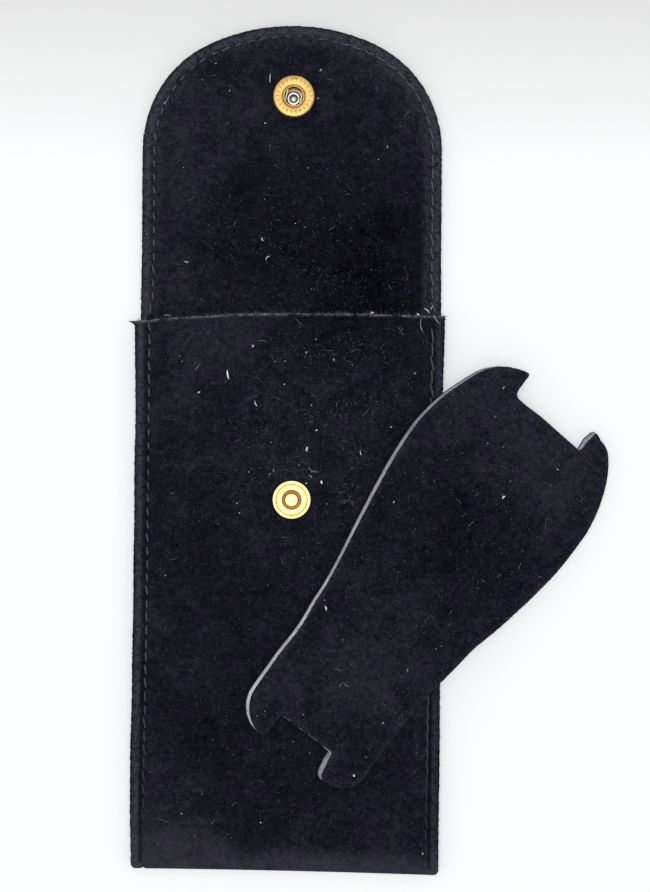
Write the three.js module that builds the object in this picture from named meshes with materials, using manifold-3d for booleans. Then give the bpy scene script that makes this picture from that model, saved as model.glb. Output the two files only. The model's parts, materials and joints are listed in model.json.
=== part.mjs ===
// Soft velvet pouch for one wristwatch, lying open on a table, with its loose cradle board across it.
//
// Millimetres, +Z up. X runs across the pouch and +Y runs from the bottom fold towards the flap.
// The origin is on the table, under the middle of the pocket's back.
//
// One strip of velvet, stiffened and lined, is folded at the bottom and sewn down both sides to make
// the pocket. It carries on past the mouth as a round flap, which turns over and snaps to the front.
import * as THREE from "three";
import { mergeVertices } from "three/addons/utils/BufferGeometryUtils.js";
import Module from "manifold-3d";

const wasm = await Module();
wasm.setup();

// Fabric sandwich, from the pocket's inside outwards
const liningThickness = 0.6;
const interliningThickness = 0.3;
const velvetThickness = 0.6;
const panelThickness = liningThickness + interliningThickness + velvetThickness;

// Pocket
const pocketWidth = 80;
const pocketLength = 143.2;
const pocketCornerRadius = 2.5;
const pocketRise = 5; // height inside, at the middle
const levelHalfWidth = 6.4; // the middle of the front stays level, where the stud is set
const bottomTaper = 30; // length over which the pocket swells from the bottom fold
const sewnGap = 0.3; // between the two panels where they are sewn together
const shoulderLength = 1; // the strip narrows to the flap's width over this length, at the mouth

// Flap
const flapWidth = 76.6;
const flapLength = 69.9; // fold line to tip
const flapShoulderRadius = 30.2;
const flapCrownRadius = 50.8;
const foldPastMouth = 4.7; // the flap folds this far beyond the pocket's mouth
const foldSlit = 0.3; // between the pocket's and the flap's halves of the fold

// Stitching
const pocketSeamInset = 3.4;
const flapSeamInset = 2.6;
const stitchLength = 3.46;
const threadRadius = 0.2;
const threadRise = 0.2; // how far a stitch bows up between its two needle holes
const bobbinRadius = 0.15;
const bobbinRecess = 0.02; // the bobbin thread stays this far inside the outer face
const stitchGrooveWidth = 0.9;
const stitchGrooveDepth = 0.45;
const threadClearance = 0.05;

// Press stud
const snapReach = 52; // fold line to the press stud's axis
const seatClearance = 0.1; // between metal and fabric
const metal = 0.35; // sheet that the press stud is drawn from
const edgeBreak = 0.15; // small bevel on its drawn edges
const socketRadius = 5.35;
const socketHeight = 2.6;
const socketHoleRadius = 2.45;
const socketLipWidth = 0.6;
const socketLipHeight = 0.15;
const springWireRadius = 0.22;
const springHalfGap = 1.95; // axis of the press stud to the middle of each spring leg
const springBowRadius = 4.4;
const springLegEnd = 2.7; // the free leg stops this far past the axis
const capRadius = 6.2;
const capHeight = 1.4;
const capSettle = 0.05; // the tilted cap rests on its near side, a little lower than its middle
const rivetRadius = 1.7;
const rivetFlangeRadius = 4.4;
const rivetClench = 0.7; // width that the rivet is rolled over on the socket's base
const rivetClearance = 0.2;
const studRadius = 4.85;
const studRimWidth = 0.95;
const studRimHeight = 0.85;
const studDishHeight = 0.55;
const studNeckRadius = 1.55;
const studBallRadius = 1.9;
const studBallHeight = 0.8;
const studHeight = 2.6;
const postRadius = 1.1;
const postFlangeRadius = 4.6;
const snappedClearance = 0.15; // between the socket's face and the stud's rim when closed

// Cradle board, which keeps the strap off the watch case
const boardVelvet = 0.55;
const boardCore = 1.9;
const boardHeadHalfWidth = 26.6;
const boardNeckHalfWidth = 18.2;
const boardNeckTop = 14; // where the sides leave the neck, above the floor of the lower notch
const boardHeadHeight = 78; // where the sides are widest, above the same floor
const boardSideEase = 23.5; // how far the sides run almost straight at each end of their S
const boardSideLean = 1; // the S leans in this much below the widest level
const boardShoulderRise = 12;
const boardHornRun = 10;
const boardHornDrop = 4;
const boardFootRadius = 6.5;
const boardToeRadius = 1.2;
const boardNotchSpan = 101.7; // floor of the lower notch to floor of the upper one
const upperNotchHalfWidth = 10.6;
const upperNotchDepth = 6.3;
const upperNotchFlare = 0.9;
const lowerNotchHalfWidth = 8.2;
const lowerNotchDepth = 7;
const lowerNotchFlare = 1;
const boardPlace = { x: 4.2, y: -35.9 }; // floor of the lower notch, as it lies
const boardTurn = -37.4; // degrees, from the pouch's length
const boardClearance = 0.3;

// Places that follow from the sizes
const mouthY = pocketLength / 2;
const bottomY = -pocketLength / 2;
const foldY = mouthY + foldPastMouth;
const seamX = pocketWidth / 2 - pocketSeamInset;
const frontTop = 2 * panelThickness + pocketRise;
const studY = foldY - snapReach;
const snappedGap = socketHeight + studRimHeight + snappedClearance;
const flapTilt = Math.atan((capHeight + capSettle) / snapReach);
// The fold's axis is as far above the open flap's inner face as it is below the closed one's.
const foldDrop = (frontTop + snappedGap - panelThickness / Math.cos(flapTilt)) / (1 + 1 / Math.cos(flapTilt));
const foldZ = (foldDrop + panelThickness) / Math.cos(flapTilt);

// Materials
const velvetBlack = new THREE.MeshStandardMaterial({ color: 0x17171f, roughness: 0.95, metalness: 0 });
const feltGrey = new THREE.MeshStandardMaterial({ color: 0x3a3a40, roughness: 0.95, metalness: 0 });
const threadGrey = new THREE.MeshStandardMaterial({ color: 0x45454f, roughness: 0.7, metalness: 0 });
const boardGrey = new THREE.MeshStandardMaterial({ color: 0xaaa8b0, roughness: 0.9, metalness: 0 });
const brass = new THREE.MeshStandardMaterial({ color: 0xd8a93f, roughness: 0.25, metalness: 1 });
const steel = new THREE.MeshStandardMaterial({ color: 0xbfc2c6, roughness: 0.3, metalness: 1 });

// Solids

// A closed geometry as a solid that can be joined and cut.
function toSolid(geometry) {
  const bare = geometry.clone();
  bare.deleteAttribute("normal");
  bare.deleteAttribute("uv");
  const merged = mergeVertices(bare, 1e-4);
  return new wasm.Manifold(
    new wasm.Mesh({
      numProp: 3,
      vertProperties: new Float32Array(merged.attributes.position.array),
      triVerts: new Uint32Array(merged.index.array),
    }),
  );
}

function toGeometry(solid) {
  const mesh = solid.getMesh();
  const geometry = new THREE.BufferGeometry();
  geometry.setAttribute("position", new THREE.BufferAttribute(new Float32Array(mesh.vertProperties), 3));
  geometry.setIndex(new THREE.BufferAttribute(new Uint32Array(mesh.triVerts), 1));
  geometry.computeVertexNormals();
  return geometry;
}

function cutAway(geometry, tools) {
  const cut = tools.reduce((rest, tool) => rest.subtract(toSolid(tool)), toSolid(geometry));
  return toGeometry(cut);
}

// A sheet between two grids of points: under(i, j) and over(i, j) give its two faces.
function sheet(rows, columns, under, over) {
  const positions = [];
  const faces = [];
  for (const face of [under, over]) {
    for (let i = 0; i < rows; i += 1) {
      for (let j = 0; j < columns; j += 1) positions.push(...face(i, j));
    }
  }
  const lower = (i, j) => i * columns + j;
  const upper = (i, j) => rows * columns + lower(i, j);
  const quad = (a, b, c, d) => faces.push(a, b, c, a, c, d);
  for (let i = 0; i + 1 < rows; i += 1) {
    for (let j = 0; j + 1 < columns; j += 1) {
      quad(lower(i, j), lower(i, j + 1), lower(i + 1, j + 1), lower(i + 1, j));
      quad(upper(i, j), upper(i + 1, j), upper(i + 1, j + 1), upper(i, j + 1));
    }
  }
  const last = columns - 1;
  for (let i = 0; i + 1 < rows; i += 1) {
    quad(lower(i, 0), lower(i + 1, 0), upper(i + 1, 0), upper(i, 0));
    quad(lower(i + 1, last), lower(i, last), upper(i, last), upper(i + 1, last));
  }
  for (let j = 0; j + 1 < columns; j += 1) {
    quad(lower(0, j + 1), lower(0, j), upper(0, j), upper(0, j + 1));
    quad(lower(rows - 1, j), lower(rows - 1, j + 1), upper(rows - 1, j + 1), upper(rows - 1, j));
  }
  const geometry = new THREE.BufferGeometry();
  geometry.setAttribute("position", new THREE.Float32BufferAttribute(positions, 3));
  geometry.setIndex(faces);
  return geometry;
}

// A round wire through points that all lie near one level, closed at both ends.
function wire(points, radius, sides) {
  const positions = [];
  const faces = [];
  const up = new THREE.Vector3(0, 0, 1);
  points.forEach((point, k) => {
    const before = points[Math.max(k - 1, 0)];
    const after = points[Math.min(k + 1, points.length - 1)];
    const along = new THREE.Vector3().subVectors(after, before).normalize();
    const side = new THREE.Vector3().crossVectors(up, along).normalize();
    const top = new THREE.Vector3().crossVectors(along, side);
    for (let s = 0; s < sides; s += 1) {
      const angle = (2 * Math.PI * s) / sides;
      const rim = point.clone().addScaledVector(side, radius * Math.cos(angle));
      rim.addScaledVector(top, radius * Math.sin(angle));
      positions.push(rim.x, rim.y, rim.z);
    }
  });
  const at = (k, s) => k * sides + (s % sides);
  const end = points.length - 1;
  for (let k = 0; k < end; k += 1) {
    for (let s = 0; s < sides; s += 1) {
      faces.push(at(k, s), at(k, s + 1), at(k + 1, s + 1));
      faces.push(at(k, s), at(k + 1, s + 1), at(k + 1, s));
    }
  }
  for (let s = 1; s + 1 < sides; s += 1) {
    faces.push(at(0, 0), at(0, s + 1), at(0, s));
    faces.push(at(end, 0), at(end, s), at(end, s + 1));
  }
  const geometry = new THREE.BufferGeometry();
  geometry.setAttribute("position", new THREE.Float32BufferAttribute(positions, 3));
  geometry.setIndex(faces);
  return geometry;
}

// A turned piece about +Z, from a profile of [radius, height] pairs that closes on itself or on the axis.
function turned(profile, segments = 32) {
  const points = profile.map(([radius, height]) => new THREE.Vector2(radius, height));
  const closed = profile[0][0] > 0 ? [...points, points[0].clone()] : points;
  return new THREE.LatheGeometry(closed, segments).rotateX(Math.PI / 2);
}

function drill(radius, bottom, top) {
  return turned([[0, bottom], [radius, bottom], [radius, top], [0, top]], 24);
}

function part(name, geometry, material) {
  const mesh = new THREE.Mesh(geometry, material);
  mesh.name = name;
  return mesh;
}

// Pocket: the strip runs down the back, round the bottom fold and up the front

// How far the front stands off the back, from 0 at the seams to 1 over the level middle.
function swell(x) {
  const out = Math.max(0, Math.abs(x) - levelHalfWidth) / (seamX - levelHalfWidth);
  return out < 1 ? 1 - out * out : 0;
}

// The pocket opens up from the bottom fold towards the mouth.
function taper(y) {
  const share = THREE.MathUtils.clamp((y - bottomY - panelThickness) / bottomTaper, 0, 1);
  return Math.sin((share * Math.PI) / 2);
}

// Half the strip's width at y, with the bottom corners rounded and the shoulders at the mouth.
function halfWidthAt(y) {
  const pastMouth = THREE.MathUtils.clamp((y - mouthY) / shoulderLength, 0, 1);
  if (pastMouth > 0) return THREE.MathUtils.lerp(pocketWidth / 2, flapWidth / 2, pastMouth);
  const intoCorner = pocketCornerRadius - THREE.MathUtils.clamp(y - bottomY, 0, pocketCornerRadius);
  return pocketWidth / 2 - pocketCornerRadius + Math.sqrt(pocketCornerRadius ** 2 - intoCorner ** 2);
}

const bendRadius = sewnGap / 2;
const bendY = bottomY + panelThickness + bendRadius;
const bendZ = panelThickness + bendRadius;

// Stations along the strip: y on a level stretch, or the angle turned round the bottom fold.
const backStations = [foldY - foldSlit / 2, mouthY + shoulderLength, mouthY, 0, bottomY + pocketCornerRadius]
  .map((y) => ({ y, front: false }));
const bendStations = [-90, -60, -30, 0, 30, 60, 90].map((turn) => ({ turn: THREE.MathUtils.degToRad(turn) }));
const taperSteps = 6;
const frontStations = [];
for (let k = 1; k <= taperSteps; k += 1) {
  const rising = bottomY + panelThickness + (bottomTaper * k) / taperSteps;
  frontStations.push({ y: rising, front: true });
}
frontStations.push({ y: 0, front: true }, { y: mouthY, front: true });
const stations = [...backStations, ...bendStations, ...frontStations];

const swellSteps = 6;
const halfColumns = [0, levelHalfWidth];
for (let k = 1; k <= swellSteps; k += 1) {
  halfColumns.push(levelHalfWidth + ((seamX - levelHalfWidth) * k) / swellSteps);
}
halfColumns.push(pocketWidth / 2);
const columns = [...halfColumns.slice(1).reverse().map((x) => -x), ...halfColumns];

// A point of the strip at a station and column, out from the pocket's inside face by depth.
function stripPoint(station, column, depth) {
  const radius = bendRadius + depth;
  let y = station.y;
  let z = bendZ - radius;
  if (station.turn !== undefined) {
    y = bendY - radius * Math.cos(station.turn);
    z = bendZ + radius * Math.sin(station.turn);
  }
  const x = Math.sign(column) * Math.min(Math.abs(column), halfWidthAt(y));
  if (station.front) z = bendZ + radius + (pocketRise - sewnGap) * swell(x) * taper(y);
  return [x, y, z];
}

function stripLayer(innerDepth, outerDepth) {
  const under = (i, j) => stripPoint(stations[i], columns[j], outerDepth);
  const over = (i, j) => stripPoint(stations[i], columns[j], innerDepth);
  return sheet(stations.length, columns.length, under, over);
}

const sewnTop = 2 * panelThickness + sewnGap;
const postHole = drill(postRadius + rivetClearance, panelThickness + sewnGap, frontTop + panelThickness)
  .translate(0, studY, 0);
const seamStart = bottomY + pocketCornerRadius;

// The shallow channels that the tight stitches draw into the front and the back of the pocket.
const seamGrooves = [-seamX, seamX].flatMap((x) => {
  const length = mouthY + stitchLength - seamStart;
  const channel = new THREE.BoxGeometry(stitchGrooveWidth, length, 2 * stitchGrooveDepth)
    .translate(x, seamStart + length / 2, 0);
  return [channel, channel.clone().translate(0, 0, sewnTop)];
});

// A thread bows out of the cloth between two needle holes: the places are a hole, a middle, a hole and so on.
function stitchedThread(places, radius, holeZ, middleZ) {
  const points = places.map(({ x, y }, k) => new THREE.Vector3(x, y, k % 2 === 0 ? holeZ : middleZ));
  return wire(points, radius, 4);
}

// The needle thread lies on a face that looks up.
function needleThread(places, faceZ) {
  const holeZ = faceZ - stitchGrooveDepth + threadClearance + threadRadius;
  return stitchedThread(places, threadRadius, holeZ, holeZ + threadRise);
}

// The bobbin thread lies in a face that looks down, and never stands out of it.
function bobbinThread(places, faceZ) {
  const holeZ = faceZ + stitchGrooveDepth - threadClearance - bobbinRadius;
  return stitchedThread(places, bobbinRadius, holeZ, faceZ + bobbinRecess + bobbinRadius);
}

function seamPlaces(x) {
  const first = seamStart + threadRadius + threadClearance;
  const stitches = Math.floor((mouthY - first) / stitchLength);
  return Array.from({ length: 2 * stitches + 1 }, (_, k) => ({ x, y: first + (k * stitchLength) / 2 }));
}

const interliningDepth = liningThickness + interliningThickness;
const pocket = new THREE.Group();
pocket.add(
  part("pocket_lining", cutAway(stripLayer(0, liningThickness), [postHole]), velvetBlack),
  part("pocket_interlining", cutAway(stripLayer(liningThickness, interliningDepth), [postHole]), feltGrey),
  part(
    "pocket_outer_velvet",
    cutAway(stripLayer(interliningDepth, panelThickness), [postHole, ...seamGrooves]),
    velvetBlack,
  ),
  part("left_seam_thread", needleThread(seamPlaces(-seamX), sewnTop), threadGrey),
  part("right_seam_thread", needleThread(seamPlaces(seamX), sewnTop), threadGrey),
  part("left_bobbin_thread", bobbinThread(seamPlaces(-seamX), 0), threadGrey),
  part("right_bobbin_thread", bobbinThread(seamPlaces(seamX), 0), threadGrey),
);

// Stud, set on the pocket's front, heights from the front's top face

const studHollow = postRadius + seatClearance;
const studDishRadius = studRadius - studRimWidth;
const studSeatLevel = seatClearance + metal;
const studBallLevel = studHeight - studBallHeight;
const studShoulder = (studBallRadius + studNeckRadius) / 2;
const studBody = turned([
  [studHollow, seatClearance],
  [studRadius - edgeBreak, seatClearance],
  [studRadius, seatClearance + edgeBreak],
  [studRadius, studRimHeight - edgeBreak],
  [studRadius - edgeBreak, studRimHeight],
  [studDishRadius + edgeBreak, studRimHeight],
  [studDishRadius, studDishHeight],
  [socketHoleRadius + edgeBreak, studDishHeight],
  [socketHoleRadius, studSeatLevel],
  [studNeckRadius, studSeatLevel],
  [studNeckRadius, studBallLevel],
  [studBallRadius, studBallLevel + studBallHeight / 3],
  [studBallRadius, studBallLevel + studBallHeight / 2],
  [studShoulder, studHeight - edgeBreak],
  [studShoulder - 2 * edgeBreak, studHeight],
  [0, studHeight],
  [0, studHeight - metal],
  [studHollow, studHeight - metal],
]);
const postBottom = -panelThickness - seatClearance - metal;
const postTop = studHeight - metal - seatClearance;
const studPost = turned([
  [postRadius - metal, postBottom],
  [postFlangeRadius - edgeBreak, postBottom],
  [postFlangeRadius, postBottom + edgeBreak],
  [postFlangeRadius, postBottom + metal],
  [postRadius, postBottom + metal],
  [postRadius, postTop],
  [postRadius - metal, postTop],
]);
const stud = new THREE.Group();
stud.position.set(0, studY, frontTop);
stud.add(part("stud_body", studBody, brass), part("stud_post", studPost, steel));

// Flap, drawn from the fold's axis: its inner face is foldDrop below the axis

// The flap's outline, drawn in by inset: two straight sides, two shoulders and a crown.
function flapOutline(inset) {
  const path = new THREE.Path();
  const halfWidth = flapWidth / 2 - inset;
  const shoulder = flapShoulderRadius - inset;
  const crown = flapCrownRadius - inset;
  const shoulderX = halfWidth - shoulder;
  const crownY = flapLength - inset - crown;
  const shoulderY = crownY + Math.sqrt((crown - shoulder) ** 2 - shoulderX ** 2);
  const turn = Math.atan2(shoulderY - crownY, shoulderX);
  path.moveTo(halfWidth, foldSlit / 2);
  path.lineTo(halfWidth, shoulderY);
  path.absarc(shoulderX, shoulderY, shoulder, 0, turn, false);
  path.absarc(0, crownY, crown, turn, Math.PI - turn, false);
  path.absarc(-shoulderX, shoulderY, shoulder, Math.PI - turn, Math.PI, false);
  path.lineTo(-halfWidth, foldSlit / 2);
  return path;
}

const curveSteps = 6;

function flapLayer(innerDepth, outerDepth) {
  const shape = new THREE.Shape(flapOutline(0).getPoints(curveSteps));
  return new THREE.ExtrudeGeometry(shape, { depth: outerDepth - innerDepth, bevelEnabled: false })
    .translate(0, 0, -foldDrop - outerDepth);
}

// The channel that the flap's stitches draw into the face at faceZ.
function flapGroove(faceZ) {
  const outer = flapOutline(flapSeamInset - stitchGrooveWidth / 2).getPoints(curveSteps);
  const inner = flapOutline(flapSeamInset + stitchGrooveWidth / 2).getPoints(curveSteps);
  const ribbon = new THREE.Shape([...outer, ...inner.reverse()]);
  return new THREE.ExtrudeGeometry(ribbon, { depth: 2 * stitchGrooveDepth, bevelEnabled: false })
    .translate(0, 0, faceZ - stitchGrooveDepth);
}

// Needle holes and the middles between them, with the first and last left out, clear of the fold.
function flapPlaces() {
  const path = flapOutline(flapSeamInset);
  const stitches = Math.round(path.getLength() / stitchLength);
  return path.getSpacedPoints(2 * stitches).slice(1, -1);
}

const flapOutside = -foldDrop - panelThickness;
const rivetHole = drill(rivetRadius + rivetClearance, flapOutside - panelThickness, -foldDrop + panelThickness)
  .translate(0, snapReach, 0);

const flap = new THREE.Group();
flap.position.set(0, foldY, foldZ);
flap.rotation.x = flapTilt;
flap.add(
  part("flap_lining", cutAway(flapLayer(0, liningThickness), [rivetHole, flapGroove(-foldDrop)]), velvetBlack),
  part("flap_interlining", cutAway(flapLayer(liningThickness, interliningDepth), [rivetHole]), feltGrey),
  part(
    "flap_outer_velvet",
    cutAway(flapLayer(interliningDepth, panelThickness), [rivetHole, flapGroove(flapOutside)]),
    velvetBlack,
  ),
  part("flap_edge_thread", needleThread(flapPlaces(), -foldDrop), threadGrey),
  part("flap_bobbin_thread", bobbinThread(flapPlaces(), flapOutside), threadGrey),
);

// Socket and cap, set through the flap, heights from the flap's inner face towards the stud

const socketLipRadius = socketHoleRadius + socketLipWidth;
const socketShell = turned([
  [socketHoleRadius, socketHeight - metal],
  [socketRadius - metal, socketHeight - metal],
  [socketRadius - metal, seatClearance],
  [socketRadius, seatClearance],
  [socketRadius, socketHeight - 2 * edgeBreak],
  [socketRadius - 2 * edgeBreak, socketHeight],
  [socketLipRadius, socketHeight],
  [socketLipRadius - edgeBreak, socketHeight + socketLipHeight],
  [socketHoleRadius + edgeBreak, socketHeight + socketLipHeight],
  [socketHoleRadius, socketHeight],
]);
const socketBaseRadius = socketRadius - metal - seatClearance;
const socketBase = turned([
  [rivetRadius + rivetClearance, seatClearance],
  [socketBaseRadius, seatClearance],
  [socketBaseRadius, seatClearance + metal],
  [rivetRadius + rivetClearance, seatClearance + metal],
]);

// The spring is one wire: a leg down the left of the hole, a bow round the right and a leg down that side.
function springPoints() {
  const z = socketHeight - metal - springWireRadius - seatClearance;
  const bowSteps = 12;
  const bowEnd = Math.acos(springHalfGap / springBowRadius);
  const points = [new THREE.Vector3(-springHalfGap, springLegEnd, z)];
  for (let k = 0; k <= bowSteps; k += 1) {
    const angle = bowEnd - Math.PI + (Math.PI * k) / bowSteps;
    points.push(new THREE.Vector3(springBowRadius * Math.cos(angle), springBowRadius * Math.sin(angle), z));
  }
  points.push(new THREE.Vector3(springHalfGap, -springLegEnd, z));
  return points;
}

const spring = wire(springPoints(), springWireRadius, 6);
const clenchLevel = seatClearance + metal + seatClearance;
const rivetBottom = -panelThickness - seatClearance - metal;
const capRivet = turned([
  [rivetRadius - metal, rivetBottom],
  [rivetFlangeRadius, rivetBottom],
  [rivetFlangeRadius, rivetBottom + metal],
  [rivetRadius, rivetBottom + metal],
  [rivetRadius, clenchLevel],
  [rivetRadius + rivetClench, clenchLevel],
  [rivetRadius + rivetClench, clenchLevel + metal],
  [rivetRadius - metal, clenchLevel + metal],
]);

// The cap is a shallow dome, open towards the flap.
function domeProfile(radius, height, rim, steps) {
  return Array.from({ length: steps + 1 }, (_, k) => {
    const share = k / steps;
    return [radius * share, rim - height * Math.sqrt(1 - share ** 4)];
  });
}

const capRim = -panelThickness - seatClearance;
const cap = turned([
  ...domeProfile(capRadius, capHeight - seatClearance, capRim, 6),
  ...domeProfile(capRadius - metal, capHeight - seatClearance - metal, capRim, 6).reverse(),
]);

const snap = new THREE.Group();
snap.position.set(0, snapReach, -foldDrop);
snap.add(
  part("socket_shell", socketShell, brass),
  part("socket_base", socketBase, steel),
  part("socket_spring", spring, steel),
  part("cap_rivet", capRivet, steel),
  part("snap_cap", cap, brass),
);
flap.add(snap);

// Cradle board: a head as wide as a watch, a narrow neck, and a notch for the strap at each end

// One side from the lower notch's floor round to the upper notch's floor; the other side mirrors it.
function boardOutline() {
  const foot = -lowerNotchDepth;
  const toeX = lowerNotchHalfWidth + lowerNotchFlare;
  const hornX = upperNotchHalfWidth + upperNotchFlare;
  const hornY = boardNotchSpan + upperNotchDepth;
  const neck = boardNeckHalfWidth;
  const head = boardHeadHalfWidth;
  const side = new THREE.Path();
  side.moveTo(lowerNotchHalfWidth, 0);
  side.lineTo(toeX, foot + boardToeRadius);
  side.quadraticCurveTo(toeX, foot, toeX + boardToeRadius, foot);
  side.absarc(neck - boardFootRadius, foot + boardFootRadius, boardFootRadius, -Math.PI / 2, 0, false);
  side.lineTo(neck, boardNeckTop);
  side.bezierCurveTo(
    neck, boardNeckTop + boardSideEase,
    head - boardSideLean, boardHeadHeight - boardSideEase,
    head, boardHeadHeight,
  );
  side.bezierCurveTo(
    head, boardHeadHeight + boardShoulderRise,
    hornX + boardHornRun, hornY - boardHornDrop,
    hornX, hornY,
  );
  side.lineTo(upperNotchHalfWidth, boardNotchSpan);
  const right = side.getPoints(curveSteps);
  const left = right.map((point) => new THREE.Vector2(-point.x, point.y)).reverse();
  return [...right, ...left];
}

const boardPoints = boardOutline();

function boardLayer(bottom, thickness) {
  return new THREE.ExtrudeGeometry(new THREE.Shape(boardPoints), { depth: thickness, bevelEnabled: false })
    .translate(0, 0, bottom);
}

// The board leans: its right edge is on the table and its underside rests on the swollen front.
const turn = THREE.MathUtils.degToRad(boardTurn);
const reach = boardPoints.map((point) => boardPlace.x + point.x * Math.cos(turn) - point.y * Math.sin(turn));
const tableX = Math.max(...reach);
const leanSteps = 200;
let lean = 0;
for (let k = 0; k <= leanSteps; k += 1) {
  const x = THREE.MathUtils.lerp(Math.min(...reach), pocketWidth / 2, k / leanSteps);
  const height = sewnTop + (pocketRise - sewnGap) * swell(x) + boardClearance;
  lean = Math.max(lean, Math.atan(height / (tableX - x)));
}

const board = new THREE.Group();
board.position.set(boardPlace.x - tableX, boardPlace.y, 0);
board.rotation.z = turn;
board.add(
  part("board_back_velvet", boardLayer(0, boardVelvet), velvetBlack),
  part("board_core", boardLayer(boardVelvet, boardCore), boardGrey),
  part("board_face_velvet", boardLayer(boardVelvet + boardCore, boardVelvet), velvetBlack),
);
const leaningBoard = new THREE.Group();
leaningBoard.position.set(tableX, 0, 0);
leaningBoard.rotation.y = lean;
leaningBoard.add(board);

const pouch = new THREE.Group();
pouch.add(pocket, stud, flap, leaningBoard);

console.log(
  `fold axis y ${foldY.toFixed(3)} z ${foldZ.toFixed(3)}, flap tilt ${THREE.MathUtils.radToDeg(flapTilt).toFixed(3)}`,
);
console.log(
  `board leans ${THREE.MathUtils.radToDeg(lean).toFixed(2)} degrees, on the table at x ${tableX.toFixed(2)}`,
);

export default pouch;
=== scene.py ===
"""A black velvet watch pouch lying open on a white table, with its loose cradle board across it.

Sizes here are millimetres and degrees, and a mesh turns them into metres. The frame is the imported
model's: X across the pouch, +Y from the bottom fold towards the flap, +Z up from the table.
"""
import json
import math
from collections import namedtuple

import bpy
import numpy as np
from mathutils import Matrix, Vector
from mathutils.geometry import delaunay_2d_cdt
from mathutils.kdtree import KDTree


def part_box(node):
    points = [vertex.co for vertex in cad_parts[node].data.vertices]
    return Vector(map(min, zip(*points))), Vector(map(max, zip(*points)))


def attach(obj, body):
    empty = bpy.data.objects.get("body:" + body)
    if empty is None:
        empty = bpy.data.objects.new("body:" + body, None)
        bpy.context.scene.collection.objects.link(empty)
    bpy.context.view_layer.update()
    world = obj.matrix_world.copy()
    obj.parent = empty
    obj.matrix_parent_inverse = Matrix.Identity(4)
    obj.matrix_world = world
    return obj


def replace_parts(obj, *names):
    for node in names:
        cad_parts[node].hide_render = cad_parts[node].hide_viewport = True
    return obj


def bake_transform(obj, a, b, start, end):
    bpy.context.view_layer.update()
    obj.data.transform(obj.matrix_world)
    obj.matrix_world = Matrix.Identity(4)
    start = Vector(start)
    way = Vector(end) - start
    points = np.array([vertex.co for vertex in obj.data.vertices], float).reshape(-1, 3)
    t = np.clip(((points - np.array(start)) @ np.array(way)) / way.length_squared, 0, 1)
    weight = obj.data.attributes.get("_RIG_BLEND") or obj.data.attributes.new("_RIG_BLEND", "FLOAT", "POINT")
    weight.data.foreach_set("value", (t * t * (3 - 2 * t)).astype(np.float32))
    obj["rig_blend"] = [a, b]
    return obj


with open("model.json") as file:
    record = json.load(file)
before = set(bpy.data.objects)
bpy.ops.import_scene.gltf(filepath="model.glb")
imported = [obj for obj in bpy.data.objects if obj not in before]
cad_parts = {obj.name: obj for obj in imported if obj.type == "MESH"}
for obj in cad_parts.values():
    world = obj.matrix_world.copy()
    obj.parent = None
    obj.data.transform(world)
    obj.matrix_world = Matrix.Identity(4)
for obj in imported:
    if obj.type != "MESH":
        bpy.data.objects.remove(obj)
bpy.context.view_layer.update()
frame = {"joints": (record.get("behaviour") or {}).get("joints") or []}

MM = 0.001
scene = bpy.context.scene


# What the frame says


def box_mm(node):
    low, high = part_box(node)
    return np.array(low) / MM, np.array(high) / MM


pocket_low, pocket_high = box_mm("pocket_outer_velvet")
fold_joint = next(joint for joint in frame["joints"] if joint["name"] == "flap_fold")
fold_y = fold_joint["pos_m"][1] / MM
fold_z = fold_joint["pos_m"][2] / MM
half_width = pocket_high[0]
bottom_y = pocket_low[1]
mouth_y = -bottom_y
front_top = pocket_high[2]
flap_half_width = box_mm("flap_lining")[1][0]
stud_low, stud_high = box_mm("stud_body")
stud_y = (stud_low[1] + stud_high[1]) / 2
stud_radius = stud_high[0]
socket_radius = box_mm("socket_shell")[1][0]
cap_radius = box_mm("snap_cap")[1][0]
rivet_flange = box_mm("cap_rivet")[1][0]

# The pouch's cloth: one strip of two velvets with a stiff felt between them
PANEL = 1.5  # thickness of the three together
SEWN_GAP = 0.3  # between front and back where they are sewn
LEVEL_HALF_WIDTH = 6.4  # the middle of the front stays level under the stud
BOTTOM_TAPER = 30.0
FLAP_LENGTH = 69.9  # fold line to tip
FLAP_SHOULDER_RADIUS = 30.2
FLAP_CROWN_RADIUS = 50.8
SNAP_REACH = 52.0  # fold line to the middle of the snap
CAP_LIFT = 1.45  # the open flap lies on its cap
FOLD_EASE = 4.0  # the cloth turns up to the flap over this far on each side of the fold
FRONT_WAVES = ((0.35, 34.0, 11), (0.10, 9.0, 12))  # height, length and seed
FRONT_SINK = 0.07  # the front lies this much lower where it waves
FLAP_WAVES = ((0.30, 38.0, 13), (0.08, 9.0, 14))

# How this one was cut and sewn, by hand and not quite true
SIDE_TAKEN_IN = 0.26  # the sides run this much inside the corners of the mouth
LEFT_SPREAD = 0.4  # and the left one comes out again by this much below the middle
MOUTH_DIP_LEFT = 2.1  # the mouth's left corner sits lower than its middle
MOUTH_TOP = 0.4
SHOULDER_DROP = 1.2  # the back's shoulders stay hidden behind the front's corners
BOTTOM_DROP = 0.78
BOTTOM_SLANT = 0.53  # the bottom fold is lower at its right end
BOTTOM_HOLLOW = 0.26
BOTTOM_NICK = 0.35  # where the seam's last stitch pulls the fold in
SQUARE_CORNER = 1.6  # radius of the bottom corners as they were trimmed
FLAP_SHIFT = 0.2  # the flap sets off a little to the right at the fold
FLAP_EXTRA = 0.45  # the flap was cut this much wide of its line on each side
FLAP_END_EXTRA = 0.2  # and this much long
SEAM_SHIFT = 0.35  # both rows of stitches stand a little to the right
SEAM_DRIFT = 0.45  # and run off to the left by this much towards the bottom
STUD_NUDGE = (1.02, 0.05)  # the press stud's halves weren't punched quite on the middle
SOCKET_NUDGE = (0.5, -0.3)
BOARD_NUDGE = (1.08, 1.64)  # the board lies this far from its nominal place

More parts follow.
